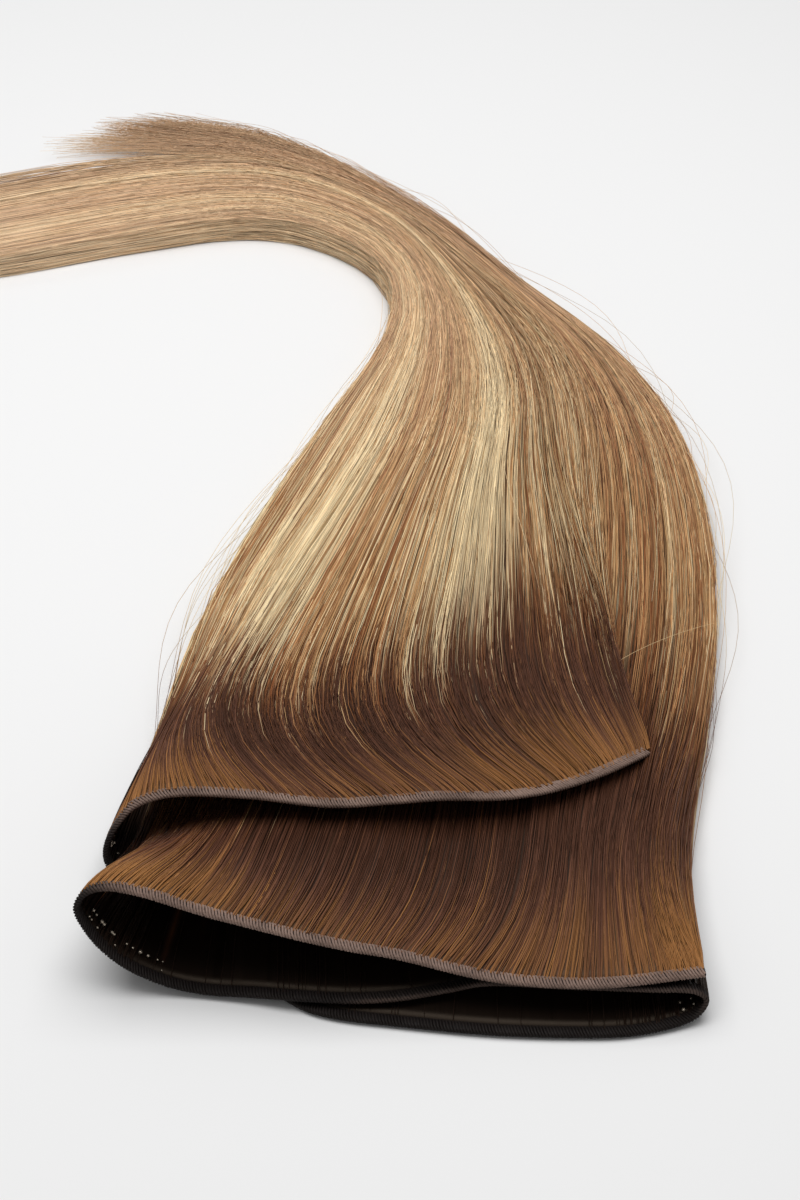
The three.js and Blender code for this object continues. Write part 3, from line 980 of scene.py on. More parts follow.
# The core takes almost only the painted shade colour, seen in the gaps between the windings
CORE_TONE = 0.02
STITCH_PITCH = 0.66
WIND_HALF_WIDTH = 1.2
WIND_HALF_THICKNESS = 0.44
WIND_STARTS = 4
WIND_STOPS = 10
WIND_SIDES = 4
WIND_SQUARENESS = 0.6
WIND_MARGIN = 0.2
WIND_SHARES = (0.002, 0.998)
FRAME_STEP = 0.5
FRAME_SMOOTHING = 6.0


def smoothed(rows, reach):
    """Rows of values, each smoothed along its length over a number of steps to both sides."""
    kernel = np.hanning(2 * reach + 3)[1:-1]
    padded = np.pad(rows, ((0, 0), (reach, reach)), mode="edge")
    return np.stack([np.convolve(row, kernel / kernel.sum(), "valid") for row in padded])


def band_frames(length):
    """Front edge, direction towards the hair and normal of the band at lengths along it."""
    stations = np.arange(0, BAND_LENGTHS[-1] + FRAME_STEP, FRAME_STEP)
    fall = np.zeros((len(stations), 3))
    for name, run in RUNS.items():
        u = (stations - run["left"]) / (run["right"] - run["left"])
        mine = (u >= 0) & (u <= 1)
        fall[mine] = field_at(FIELDS[name], u[mine], np.full(mine.sum(), 2 * BAND_WIDTH))[0]
        fall[mine] += CENTRE - root_point(run, u[mine])
    fall[-1] = fall[-2]
    fall = smoothed(unit(fall).T, int(FRAME_SMOOTHING / FRAME_STEP))
    along = unit(band_point(length + FRAME_STEP / 2) - band_point(length - FRAME_STEP / 2))
    inward = np.stack([np.interp(length, stations, part) for part in fall], axis=1)
    inward = unit(inward - (inward * along).sum(1, keepdims=True) * along)
    return band_point(length) - CENTRE, inward, np.cross(along, inward)


def squared(angle):
    """Cosine and sine of an angle drawn towards the corners of a square."""
    wave = np.stack([np.cos(angle), np.sin(angle)])
    return np.sign(wave) * np.abs(wave) ** WIND_SQUARENESS


# How much of the thread's own colour shows on the upper face, lower face and front edge of each run; the
# rest is painted shade where the band lies in shade
FACE_LIT = {
    "top": (0.98, 0.03, 0.98),
    "floor": (0.03, 0.03, 0.03),
    "inner": (0.05, 0.03, 0.3),
    "front": (0.98, 0.03, 0.98),
}
PAINTED_SHADE_TONE = 0.03
# Lengths from each run's left turn that stay in painted shade
TURN_SHADE = {"top": 8.0, "floor": 8.0, "inner": 66.0, "front": 8.0}
EDGE_START = 0.6
EDGE_FULL = 0.95
FACE_BLEND = 7.0


def face_tones(stations):
    """Tones of the band's two faces and front edge at lengths along it, in painted shade round the turns."""
    faces = np.full((3, len(stations)), PAINTED_SHADE_TONE)
    for name, run in RUNS.items():
        share = (stations - run["left"]) / (run["right"] - run["left"])
        mine = (share > TURN_SHADE[name] / run["length"]) & (share <= 1)
        upper, lower, edge = FACE_LIT[name]
        tones = (upper, lower, edge) if run["rightwards"] else (lower, upper, edge)
        faces[:, mine] = np.array(tones)[:, None]
    return smoothed(faces, max(int(FACE_BLEND / (stations[1] - stations[0])), 1))


def core_mesh(name, material):
    """The flat strip inside the winding."""
    stations = np.linspace(0, BAND_LENGTHS[-1], int(BAND_LENGTHS[-1] / CORE_STEP) + 1)
    edge, inward, normal = band_frames(stations)
    middle = edge + inward * BAND_WIDTH / 2
    wide, thick = squared(np.arange(CORE_SIDES) * 2 * np.pi / CORE_SIDES)
    rings = (
        middle[:, None]
        + inward[:, None] * (wide * CORE_HALF_WIDTH)[None, :, None]
        + normal[:, None] * (thick * CORE_HALF_THICKNESS)[None, :, None]
    )
    spot = np.arange(rings.shape[0] * CORE_SIDES).reshape(-1, CORE_SIDES)
    after = np.roll(spot, -1, axis=1)
    faces = np.stack([spot[:-1], after[:-1], after[1:], spot[1:]], axis=2).reshape(-1, 4).tolist()
    faces.append(spot[0, ::-1].tolist())
    faces.append(spot[-1].tolist())
    corner = np.concatenate(faces)
    tone = CORE_TONE * (1 + corner % CORE_SIDES / CORE_SIDES)
    uv = np.stack([tone, corner // CORE_SIDES / len(stations)], axis=1)
    return charted_mesh(name, rings, faces, uv, material)


def wound_guides(name, radius):
    """Threads wound round the band side by side."""
    pitch = STITCH_PITCH * WIND_STARTS
    stops = int(BAND_LENGTHS[-1] / pitch * WIND_STOPS)
    stations = np.linspace(WIND_MARGIN, BAND_LENGTHS[-1] - WIND_MARGIN, stops)
    edge, inward, normal = band_frames(stations)
    middle = edge + inward * BAND_WIDTH / 2
    above, below, front = face_tones(stations)
    threads = []
    tones = []
    for start in range(WIND_STARTS):
        wide, thick = squared(2 * np.pi * (stations / pitch + start / WIND_STARTS))
        face = np.where(thick > 0, above, below)
        tones.append(face + (front - face) * smooth_step(-wide, EDGE_START, EDGE_FULL))
        threads.append(
            middle
            + inward * (wide * WIND_HALF_WIDTH)[:, None]
            + normal * (thick * WIND_HALF_THICKNESS)[:, None]
        )
    along = np.linspace(*WIND_SHARES, stops)[None]
    values = {"strand_radius": radius, "strand_code": np.stack(tones), "strand_along": along}
    return guide_mesh(name, np.stack(threads), values)


# Knots inside the turns: where each turn is, the stretch of band beside it that has them, and their face
TURNS = {
    "outer_left": {"run": "top", "end": "left", "stretch": (-6.0, 7.0), "face": 1},
    "right": {"run": "floor", "end": "right", "stretch": (-5.0, 4.0), "face": 1},
    "front_left": {"run": "front", "end": "left", "stretch": (-26.0, -1.0), "face": -1},
}
KNOT_PITCH = 1.7
KNOT_SHIFT = 0.4
KNOT_ROWS = (3.0, 5.4)
KNOT_SHARE = 0.6
KNOT_OUT = 0.7
KNOT_SIZES = (0.5, 1.3)
KNOT_SEED = 5
KNOT_RADIUS = 0.0003
KNOT_SUBDIVISIONS = 2
KNOT_PATCHES = 700.0


def knot_guides(name):
    """Single points for the knots, with their sizes."""
    rng = np.random.default_rng(KNOT_SEED)
    points = []
    for turn in TURNS.values():
        middle = RUNS[turn["run"]][turn["end"]]
        stations = middle + np.arange(*turn["stretch"], KNOT_PITCH)
        for row in KNOT_ROWS:
            shifted = stations + rng.uniform(-KNOT_SHIFT, KNOT_SHIFT, len(stations)) * KNOT_PITCH
            shifted = shifted[rng.random(len(stations)) < KNOT_SHARE]
            edge, inward, normal = band_frames(shifted)
            points.append(edge + inward * row + normal * turn["face"] * KNOT_OUT)
    points = np.concatenate(points)
    return guide_mesh(name, points[:, None], {"strand_radius": rng.uniform(*KNOT_SIZES, (len(points), 1))})


def knot_tree():
    """Sets a small faceted bead at each point, by the point's size."""
    tree, given, result = new_tree("Knots", {
        "Points": ("Geometry", None),
        "Radius": ("Float", KNOT_RADIUS),
        "Material": ("Material", None),
    })
    spots = add_node(tree, "GeometryNodeMeshToPoints")
    bead = add_node(tree, "GeometryNodeMeshIcoSphere")
    bead.inputs["Subdivisions"].default_value = KNOT_SUBDIVISIONS
    place = add_node(tree, "GeometryNodeInstanceOnPoints")
    connect(tree, [
        (given, "Points", spots, "Mesh"),
        (given, "Radius", bead, "Radius"),
        (spots, "Points", place, "Points"),
        (bead, "Mesh", place, "Instance"),
        (named_value(tree, "strand_radius"), "Attribute", place, "Scale"),
    ])
    end_tree(tree, given, result, place, "Instances")
    return tree


def knot_material(name):
    """Small glossy beads of set thread, uneven in colour."""
    material, tree, surface = new_material(name)
    place = add_node(tree, "ShaderNodeTexCoord").outputs["Object"]
    patches = noise_node(tree, place, KNOT_PATCHES)
    colour = mix_node(tree, patches, linear("6d5a48"), linear("d8cdbc"))
    tree.links.new(colour, surface.inputs["Base Color"])
    surface.inputs["Metallic"].default_value = 0.75
    surface.inputs["Roughness"].default_value = 0.16
    return material


class WEFT_OT_band(bpy.types.Operator):
    """Band: a core strip with thread wound round it, and knots inside its turns"""

    bl_idname = "weft.band"
    bl_label = "Band"

    def execute(self, context):
        band = context.scene.weft_band
        # The core is coloured with painted shade, with a trace of dark thread
        core = thread_material("band_core_painted_shade", band.painted_shade, band.painted_shade, band.thread_dark)
        add_piece("band_core", core_mesh("band_core", core), ["weft_band"])
        thread = thread_material("band_thread", band.painted_shade, band.thread_dark, band.thread_light)
        guides = wound_guides("band_winding", band.thread_radius)
        inputs = {"Sides": WIND_SIDES, "Material": thread}
        add_piece("band_winding", grown_mesh("band_winding", guides, strand_tree(), inputs))
        inputs = {"Radius": band.knot_radius, "Material": knot_material("band_knot")}
        guides = knot_guides("band_knots")
        add_piece("band_knots", grown_mesh("band_knots", guides, knot_tree(), inputs))
        return {"FINISHED"}


# Bodies of hair: a sheet for each run, between two shares of its thickness, with a ragged and tapered end
SHEET_COLUMNS = 90
SHEET_SHARES = (0.004, 0.996)
SHEET_STOPS = np.array([
    2.2, 5, 9, 15, 22, 31, 41, 53, 67, 84, 103, 126, 150, 176, 201, 224, 245, 264, 282, 300, 318, 338,
    362, 390, 425, 455,
])
SHEET_SEED = 100
# Painted shade: the bodies are darkened by this factor, for the shade between and under the strands
SHEET_PAINTED_SHADE = 0.32
SHEET_TOP = 0.32
SHEET_BELOW = -0.85
SHEET_RIDGES = 0.25
SHEET_RAGGED = 22.0
SHEET_RAGGED_STOPS = (300, 455)
SHEET_TRIM = 24.0
SHEET_TAPER = 0.2
SHEET_TAPER_STOPS = (380, 455)
SHEET_CLEARANCE = 0.05
SHEET_LEAST = 0.1

# Share by which the top run's body draws back from its right edge, under strands that spread out there,
# and the shares along the run and distances from the band between which it does
SHEET_RETREAT = 0.1
RETREAT_SHARES = (0.6, 1)
RETREAT_DISTANCES = (20, 80)


def sheet_mesh(name, material):
    """The body of a run's hair under its loose strands, thinning to a ragged end."""
    rng = np.random.default_rng(SOWING[name]["seed"] + SHEET_SEED)
    u = crowded(np.linspace(*SHEET_SHARES, SHEET_COLUMNS))
    trim = tip_trim(name, u)
    ragged = SHEET_RAGGED * (rng.random(SHEET_COLUMNS) - 0.5) - trim - SHEET_TRIM * (trim > 0)
    reach = 1 + (ragged / HAIR_LENGTH)[:, None] * smooth_step(SHEET_STOPS, *SHEET_RAGGED_STOPS)[None]
    distance = SHEET_STOPS[None] * reach
    spot = np.broadcast_to(u[:, None], distance.shape)
    if name == "top":
        retreat = smooth_step(spot, *RETREAT_SHARES) * smooth_step(distance, *RETREAT_DISTANCES)
        spot = spot * (1 - SHEET_RETREAT * retreat)
    middle, normal, _, thickness = field_at(FIELDS[name], spot, distance)
    taper = 1 - (1 - SHEET_TAPER) * smooth_step(SHEET_STOPS, *SHEET_TAPER_STOPS)
    ridge = 1 + SHEET_RIDGES * (rng.random(SHEET_COLUMNS) - 0.5)
    half = thickness / 2 * taper[None, :, None] * ridge[:, None, None]
    upper = middle + normal * half * SHEET_TOP
    lower = middle + normal * half * SHEET_BELOW
    lower[..., 2] = np.maximum(lower[..., 2], SHEET_CLEARANCE)
    upper[..., 2] = np.maximum(upper[..., 2], lower[..., 2] + SHEET_LEAST)
    tone = strand_tone(name, u, rng)
    root = root_tone(name, u, rng)
    # Painted shade: the lower face, and every face of the lower runs' bodies, take roots with painted shade
    inside = tone_code(PAINTED_SHADE_ROOT, tone)
    outside = tone_code(root, tone) if name in OUTER_RUNS else inside
    along = dye_share(name, distance, root_end(name, u, rng)[:, None])
    return slab_mesh(f"hair_{name}_body", upper, lower, (outside, inside), along, material)


class WEFT_OT_hair_bodies(bpy.types.Operator):
    """Hair bodies: the dense sheet of hair under the strands of each run, darkened with painted shade"""

    bl_idname = "weft.hair_bodies"
    bl_label = "Hair bodies"

    def execute(self, context):
        # The bodies' material is darkened by the painted shade factor
        material = hair_material("hair_body_painted_shade", context.scene.weft_hair, SHEET_PAINTED_SHADE)
        for name in RUNS:
            add_piece(f"hair_{name}_body", sheet_mesh(name, material), [f"hair_{name}_run"])
        return {"FINISHED"}


# Strands of the front run that lie over the cut end of the top run
COVER_MIDDLE = np.array(TOP_PATH[-1]) - CENTRE
COVER_LIFT = 3.6
COVER_REACH = 16.0
COVER_LEFT = -1.6
COVER_FULL = 0.8
COVER_RIGHT = 9.0
COVER_SHARES = (0.5, 1.25)

# Tips of the outer locks of the lower runs, splayed outwards and upwards
SPLAY_START = 0.62
SPLAY_LENGTH = 110.0
SPLAY_REACH = 7.0
SPLAY_SHARES = (-0.4, 1)
SPLAY_RISE = 4.0

# Strands at the right edges of the upper runs that spread out over the runs below: share along the run
# from which they do, how far they reach and how far they drop
FANS = {
    "top": {"start": 0.84, "reach": 18.0, "drop": 2.6},
    "front": {"start": 0.88, "reach": 6.0, "drop": 2.2},
}
FAN_SHARES = (-0.15, 1)
FAN_DROP_REACH = 7
TOP_FAN_DISTANCES = (30, 140)


def cover_lift(points, share):
    """Rise of strands that pass over the cut end of the top run."""
    across = points[..., 0] - COVER_MIDDLE[0]
    back = points[..., 1] - COVER_MIDDLE[1]
    over = smooth_step(across, COVER_LEFT, COVER_FULL) * (1 - smooth_step(across, COVER_FULL, COVER_RIGHT))
    return COVER_LIFT * share * over * np.exp(-((back / COVER_REACH) ** 2))


def sown_roots(sowing, count, rng):
    """Shares along a run at which strands are rooted, and which of them lie along its edges."""
    roots = (np.arange(count) + rng.random(count)) / count
    rng.shuffle(roots)
    chance = rng.random(count)
    at_left = chance < sowing["left"]
    at_right = chance > 1 - sowing["right"]
    edge = EDGE_SHARE * rng.random(count) ** EDGE_CROWDING
    return np.where(at_left, edge, np.where(at_right, 1 - edge, roots)), at_left | at_right


def joined_wisps(run, roots, rng):
    """For each strand the middle of its wisp, how far it is drawn there, and the wisp's lift."""
    wisps = int(run["length"] / WISP_WIDTH)
    edges = np.cumsum(WISP_LEAST + rng.random(wisps))
    edges = np.concatenate([[0], edges / edges[-1]])
    wisp = np.clip(np.searchsorted(edges, roots) - 1, 0, wisps - 1)
    pull = rng.uniform(*WISP_PULLS, len(roots))
    return (edges[wisp] + edges[wisp + 1]) / 2, pull, rng.normal(0, WISP_LIFT, wisps)[wisp]


def strand_lengths(name, roots, rng):
    """Lengths of strands from the band to their tips."""
    count = len(roots)
    locks = np.sin(LOCK_TURN * (np.floor(roots * LOCKS) + RUNS[name]["layer"] * LOCKS))
    length = HAIR_LENGTH + LOCK_SCATTER * locks + np.clip(rng.normal(0, TIP_SPREAD, count), *TIP_LIMITS)
    length -= EARLY_REACH * rng.random(count) * (rng.random(count) < EARLY_TIPS)
    return length - (TOP_RETREAT if name == "top" else tip_trim(name, roots))


def strand_distances(length, rng):
    """Distances from the band of each strand's points, staggered between its two ends."""
    stops = np.arange(len(STRAND_STOPS))
    between = (stops > 0) & (stops < stops[-1])
    stagger = rng.uniform(-STOP_STAGGER, STOP_STAGGER, len(length))[:, None] * between
    distance = np.interp(stops + stagger, stops, STRAND_STOPS)
    stretch = (length / HAIR_LENGTH - 1)[:, None] * smooth_step(distance, STRETCH_START, HAIR_LENGTH)
    return distance * (1 + stretch)


def strand_shares(name, roots, distance, centre, pull):
    """Shares along the run of each strand's points: bundled at the band, then drawn into wisps."""
    bundles = int(RUNS[name]["length"] / BUNDLE_PITCH)
    bundle = ((np.floor(roots * bundles) + 0.5) / bundles)[:, None]
    u = roots[:, None] + ((centre - roots) * pull)[:, None] * smooth_step(distance, *WISP_DISTANCES)
    freed = BUNDLE_SPREAD + (1 - BUNDLE_SPREAD) * smooth_step(distance, *BUNDLE_DISTANCES)
    u = bundle + (u - bundle) * freed
    if name in LEAN:
        u = u + np.interp(roots, *np.array(LEAN[name]).T)[:, None] * bow_share(distance)
    return np.clip(u, *SHARE_LIMITS)


def lay_strands(name, u, distance, upper, lift, at_edge, rng):
    """Points of strands in their run's sheet, each at its height and with a soft swing,
    and the directions sideways."""
    count = len(u)
    middle, normal, side, thickness = field_at(FIELDS[name], u, distance)
    above = rng.uniform(*STRAND_HEIGHTS, count) + lift
    below = -rng.uniform(*STRAND_HEIGHTS, count)
    height = np.where(upper, above, below)
    spread = rng.uniform(-EDGE_HEIGHT, EDGE_HEIGHT, count)
    spreading = at_edge[:, None] * smooth_step(distance, *EDGE_DISTANCES)
    height = height[:, None] + (spread - height)[:, None] * spreading
    swing = rng.gamma(*SWING_GAMMA, count) * np.where(rng.random(count) < STRAY_SHARE, STRAY_SWING, 1)
    turn = rng.uniform(0, 2 * np.pi, (2, count, 1))
    wave = rng.uniform(*SWING_WAVES, count)[:, None]
    loose = smooth_step(distance, *SWING_DISTANCES)
    sideways = swing[:, None] * np.sin(2 * np.pi * distance / wave + turn[0]) * loose
    breath = BREATH * np.sin(2 * np.pi * distance / (BREATH_PACE * wave) + turn[1]) * loose
    points = middle + normal * ((height + breath)[..., None] * thickness / 2) + side * sideways[..., None]
    return points, side


def spread_strands(name, points, side, roots, distance, length, upper, rng):
    """Moves the points of strands that fan out, splay at their tips or pass over the top run's cut end."""
    count = len(roots)
    if name in FANS:
        fan = FANS[name]
        reach = fan["reach"] * smooth_step(roots, fan["start"], 1) * rng.uniform(*FAN_SHARES, count)
        spreading = smooth_step(distance, *TOP_FAN_DISTANCES) if name == "top" else bow_share(distance)
        out = reach[:, None] * spreading
        points += side * out[..., None]
        points[..., 2] -= fan["drop"] * smooth_step(out, 0, FAN_DROP_REACH)
    if name != "top":
        tips = smooth_step(distance, length[:, None] - SPLAY_LENGTH, length[:, None])
        splay = smooth_step(roots, SPLAY_START, 1)[:, None] * tips
        points += side * (SPLAY_REACH * rng.uniform(*SPLAY_SHARES, count)[:, None] * splay)[..., None]
        points[..., 2] += SPLAY_RISE * rng.random(count)[:, None] * splay
    if name == "front":
        points[..., 2] += cover_lift(points, rng.uniform(*COVER_SHARES, count)[:, None] * upper[:, None])


def laid_guides(name, points, thick, code, along):
    """A guide mesh of strands that are kept above the surface."""
    points[..., 2] = np.maximum(points[..., 2], thick / MM)
    return guide_mesh(name, points, {"strand_radius": thick, "strand_code": code, "strand_along": along})


def strand_guides(name, label, count, rng, radius):
    """Chains of points for strands sown evenly along a run."""
    roots, at_edge = sown_roots(SOWING[name], count, rng)
    centre, pull, lift = joined_wisps(RUNS[name], roots, rng)
    length = strand_lengths(name, roots, rng)
    distance = strand_distances(length, rng)
    u = strand_shares(name, roots, distance, centre, pull)
    upper = rng.random(count) < SOWING[name]["upper"]
    points, side = lay_strands(name, u, distance, upper, lift, at_edge, rng)
    spread_strands(name, points, side, roots, distance, length, upper, rng)
    thick = radius * rng.uniform(*STRAND_WIDTHS, count)[:, None]
    thick = thick * (1 - THINNING * smooth_step(distance / length[:, None], THINNING_START, 1.0))
    root = root_tone(name, roots, rng)
    # Painted shade: strands under their sheet and those of the lower runs get roots with painted shade
    root = np.where(upper & (name in OUTER_RUNS), root, PAINTED_SHADE_ROOT)
    code = tone_code(root, strand_tone(name, roots, rng))[:, None]
    along = dye_share(name, distance, root_end(name, roots, rng)[:, None])
    return laid_guides(label, points, thick, code, along)


# Strands that hang over the sides of the pile: lanes at the surface and at the top, layers covered, number,
# tone, distance from the roots at which they end, and direction outwards
SIDES = {
    # Left strands' light tone: partly the hair's own caramel, partly painted light on the flank that light
    # barely reaches
    "left": {
        "lanes": (-0.004, 0.022), "layers": 4, "strands": 340, "tone": 0.72, "ends": 480.0,
        "out": -1, "seed": 53,
    },
    "right": {
        "lanes": (0.985, 1.003), "layers": 3, "strands": 150, "tone": 0.16, "ends": 435.0,
        "out": 1, "seed": 59,
    },
}
SIDE_PLACES = 800
SIDE_STOPS = 16
SIDE_STARTS = (0.22, 0.68)
SIDE_SPANS = (120.0, 240.0)
SIDE_RAGGED = 90.0
SIDE_LEVELS = (0.03, 1)
SIDE_LEVEL_LIMITS = (0.02, 1.02)
SIDE_SWAY = 0.06
SIDE_SWAY_ANGLE = 6
SIDE_BULGE = 0.9
SIDE_UNEVENNESS = 0.2
SIDE_TUCK = 2.6
SIDE_TUCK_SHARE = 0.2
SIDE_TONE_SPREAD = 0.16
SIDE_ROOT_TONES = (0.2, 0.8)
SIDE_ROOT = 0.08
SIDE_ROOT_END = 66.0


def side_walk(side, start, span, shares, shortened):
    """Places along the pile and distances from the roots of strands that follow one of its sides."""
    places = np.linspace(0, 1 - PLACE_STEP, SIDE_PLACES)
    edge = lane_point(places, np.full(SIDE_PLACES, SIDES[side]["lanes"][0]))
    lengths = np.concatenate([[0], np.cumsum(np.linalg.norm(np.diff(edge, axis=0), axis=1))])
    root = np.interp(SIDE_ROOT, places, lengths)
    begin = np.interp(start, places, lengths) - root
    end = np.minimum(begin + span, SIDES[side]["ends"] - shortened)
    distance = begin[:, None] + (end - begin)[:, None] * shares
    return np.interp(distance + root, lengths, places), distance


def side_points(side, place, share, out):
    """Points on a side of the pile, at shares of its height and moved outwards."""
    low, high = SIDES[side]["lanes"]
    inner, outer = edge_points(place)
    lane = low + (high - low) * share
    across = unit(outer - inner) * SIDES[side]["out"]
    height = share * (SIDES[side]["layers"] * layer_pitch(place, lane) - LAYER_GAP / 2)
    flat = inner + (outer - inner) * lane[..., None] + across * out[..., None]
    return np.concatenate([flat, height[..., None]], axis=-1) - CENTRE


def side_guides(name, side, radius):
    """Chains of points for the strands that hang over a side of the pile."""
    rng = np.random.default_rng(SIDES[side]["seed"])
    count = SIDES[side]["strands"]
    shares = np.linspace(0, 1, SIDE_STOPS)[None]
    start = rng.uniform(*SIDE_STARTS, count)
    shortened = SIDE_RAGGED * rng.random(count)
    place, distance = side_walk(side, start, rng.uniform(*SIDE_SPANS, count), shares, shortened)
    level = rng.uniform(*SIDE_LEVELS, count)[:, None]
    turn = rng.uniform(0, SIDE_SWAY_ANGLE, count)[:, None]
    level = np.clip(level + SIDE_SWAY * np.sin(SIDE_SWAY_ANGLE * shares + turn), *SIDE_LEVEL_LIMITS)
    free = smooth_step(shares, 0, SIDE_TUCK_SHARE) * (1 - smooth_step(shares, 1 - SIDE_TUCK_SHARE, 1))
    out = SIDE_BULGE * np.sin(np.pi * np.clip(level, 0, 1)) - SIDE_TUCK * (1 - free)
    out = out + rng.normal(0, SIDE_UNEVENNESS, count)[:, None]
    points = side_points(side, place, level, out)
    thick = radius * rng.uniform(*STRAND_WIDTHS, count)[:, None]
    tone = np.clip(SIDES[side]["tone"] + rng.normal(0, SIDE_TONE_SPREAD, count), 0, 1)
    code = tone_code(rng.uniform(*SIDE_ROOT_TONES, count), tone)[:, None]
    return laid_guides(name, points, thick, code, dye_share("top", distance, SIDE_ROOT_END))


# Loose hairs: arcs that stand off the sides of the pile, and hairs that lie across its top
ARC_COUNT = 64
ARC_STARTS = (0.1, 0.7)
ARC_SPANS = (40.0, 150.0)
ARC_GAMMA = (1.6, 2.3)
ARC_LIMIT = 9.0
ARC_SHARPNESS = 1.5
ARC_RISES = (0, 4)
ARC_LEVELS = (0.4, 1)
ARC_SINK = 0.6
LOOSE_STOPS = 14
LOOSE_SEED = 71
LOOSE_WIDTH = 0.6
LOOSE_ROOT_TONES = (0.5, 0.95)
LOOSE_TONES = (0.3, 0.9)
# Run, share and distance at the start, share and distance at the end, and lift
CROSSING = [
    ("front", 0.8, 104, 1.0, 128, 1.6),
    ("top", 0.58, 93, 0.65, 70, 1.4),
    ("top", 0.95, 395, 0.3, 386, 1.0),
]
CROSSING_COUNT = 60
CROSSING_FRONT = 95.0
CROSSING_SHARES = (0.04, 0.96)
CROSSING_SPANS = (40, 120)
CROSSING_STARTS = (20, 290)
CROSSING_TURN = 0.07
CROSSING_LIMITS = (0.01, 0.99)
CROSSING_LIFTS = (0.4, 1.5)
CROSSING_BEND = 1.4
CROSSING_ROUNDNESS = 0.8


def arc_points(rng, shares):
    """Points of hairs that stand off the sides of the pile, and their distances from the roots."""
    side = np.where(rng.random(ARC_COUNT) < 0.5, "left", "right")
    start = rng.uniform(*ARC_STARTS, ARC_COUNT)
    span = rng.uniform(*ARC_SPANS, ARC_COUNT)
    bow = np.sin(np.pi * shares)
    reach = np.minimum(rng.gamma(*ARC_GAMMA, ARC_COUNT), ARC_LIMIT)[:, None] * bow ** ARC_SHARPNESS
    rise = rng.uniform(*ARC_RISES, ARC_COUNT)[:, None] * bow
    level = rng.uniform(*ARC_LEVELS, ARC_COUNT)[:, None] * np.ones_like(shares)
    points = np.empty((ARC_COUNT, LOOSE_STOPS, 3))
    distance = np.empty((ARC_COUNT, LOOSE_STOPS))
    for label in SIDES:
        mine = side == label
        place, distance[mine] = side_walk(label, start[mine], span[mine], shares, 0)
        points[mine] = side_points(label, place, level[mine], reach[mine] - ARC_SINK)
    points[..., 2] += rise
    return points, distance


def crossing_points(rng, shares):
    """Points of hairs that lie across the top of the pile, and their distances from the roots."""
    rows = list(CROSSING)
    for _ in range(CROSSING_COUNT):
        u = rng.uniform(*CROSSING_SHARES)
        span = rng.uniform(*CROSSING_SPANS)
        distance = rng.uniform(*CROSSING_STARTS)
        end = np.clip(u + rng.normal(0, CROSSING_TURN), *CROSSING_LIMITS)
        name = "front" if distance > CROSSING_FRONT and rng.random() < 0.5 else "top"
        rows.append((name, u, distance, end, distance + span, rng.uniform(*CROSSING_LIFTS)))
    points = []
    distances = []
    for name, u0, d0, u1, d1, lift in rows:
        distance = d0 + (d1 - d0) * shares[0]
        u = u0 + (u1 - u0) * shares[0] ** CROSSING_BEND
        middle, normal, _, thickness = field_at(FIELDS[name], u, distance)
        rise = lift * np.sin(np.pi * shares[0])[:, None] ** CROSSING_ROUNDNESS
        points.append(middle + normal * (thickness / 2 + rise))
        distances.append(distance)
    return np.stack(points), np.stack(distances)


def loose_guides(name, radius):
    """Chains of points for single loose hairs."""
    rng = np.random.default_rng(LOOSE_SEED)
    shares = np.linspace(0, 1, LOOSE_STOPS)[None]
    arcs, arc_distance = arc_points(rng, shares)
    crossing, crossing_distance = crossing_points(rng, shares)
    points = np.concatenate([arcs, crossing])
    distance = np.concatenate([arc_distance, crossing_distance])
    count = len(points)
    code = tone_code(rng.uniform(*LOOSE_ROOT_TONES, count), rng.uniform(*LOOSE_TONES, count))[:, None]
    return laid_guides(name, points, radius * LOOSE_WIDTH, code, dye_share("top", distance, SIDE_ROOT_END))


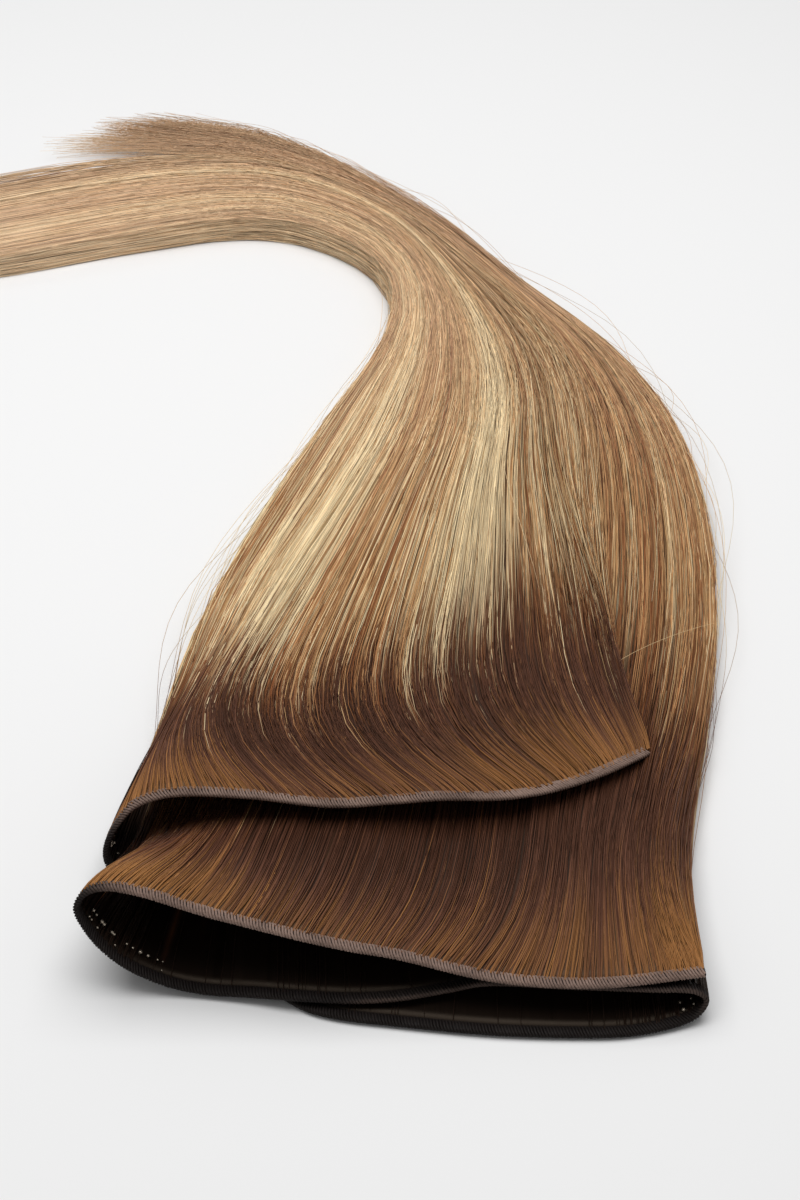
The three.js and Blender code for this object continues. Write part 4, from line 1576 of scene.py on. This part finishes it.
class WEFT_OT_hair_strands(bpy.types.Operator):
    """Hair strands: single hairs over the body of each run"""

    bl_idname = "weft.hair_strands"
    bl_label = "Hair strands"

    def execute(self, context):
        hair = context.scene.weft_hair
        inputs = {"Sides": STRAND_SIDES, "Material": hair_material("hair_strand", hair)}
        tree = strand_tree()
        for name, sowing in SOWING.items():
            rng = np.random.default_rng(sowing["seed"])
            for part in range(sowing["pieces"]):
                label = f"hair_{name}_strands_{part + 1}"
                guides = strand_guides(name, label, sowing["strands"], rng, hair.strand_radius)
                add_piece(label, grown_mesh(label, guides, tree, inputs))
        for side in SIDES:
            label = f"hair_{side}_side_strands"
            guides = side_guides(label, side, hair.strand_radius)
            add_piece(label, grown_mesh(label, guides, tree, inputs))
        guides = loose_guides("hair_loose_strands", hair.strand_radius)
        add_piece("hair_loose_strands", grown_mesh("hair_loose_strands", guides, tree, inputs))
        return {"FINISHED"}


class WEFT_PT_panel(bpy.types.Panel):
    """The weft's pieces and their settings"""

    bl_label = "Hair weft"
    bl_space_type = "VIEW_3D"
    bl_region_type = "UI"
    bl_category = "Hair weft"

    def draw(self, context):
        layout = self.layout
        for group in (context.scene.weft_hair, context.scene.weft_band, context.scene.weft_stage):
            column = layout.column()
            for key in group.__annotations__:
                column.prop(group, key)
        for operator in OPERATORS:
            layout.operator(operator.bl_idname)


OPERATORS = (WEFT_OT_stage, WEFT_OT_band, WEFT_OT_hair_bodies, WEFT_OT_hair_strands)
SETTINGS = {"weft_hair": WeftHairSettings, "weft_band": WeftBandSettings, "weft_stage": WeftStageSettings}


def register():
    for group in (*SETTINGS.values(), *OPERATORS, WEFT_PT_panel):
        bpy.utils.register_class(group)
    for key, group in SETTINGS.items():
        setattr(bpy.types.Scene, key, bpy.props.PointerProperty(type=group))


def unregister():
    for key in SETTINGS:
        delattr(bpy.types.Scene, key)
    for group in (WEFT_PT_panel, *reversed(OPERATORS), *reversed(SETTINGS.values())):
        bpy.utils.unregister_class(group)


def main():
    register()
    bpy.ops.weft.stage()
    bpy.ops.weft.band()
    bpy.ops.weft.hair_bodies()
    bpy.ops.weft.hair_strands()


if __name__ == "__main__":
    main()
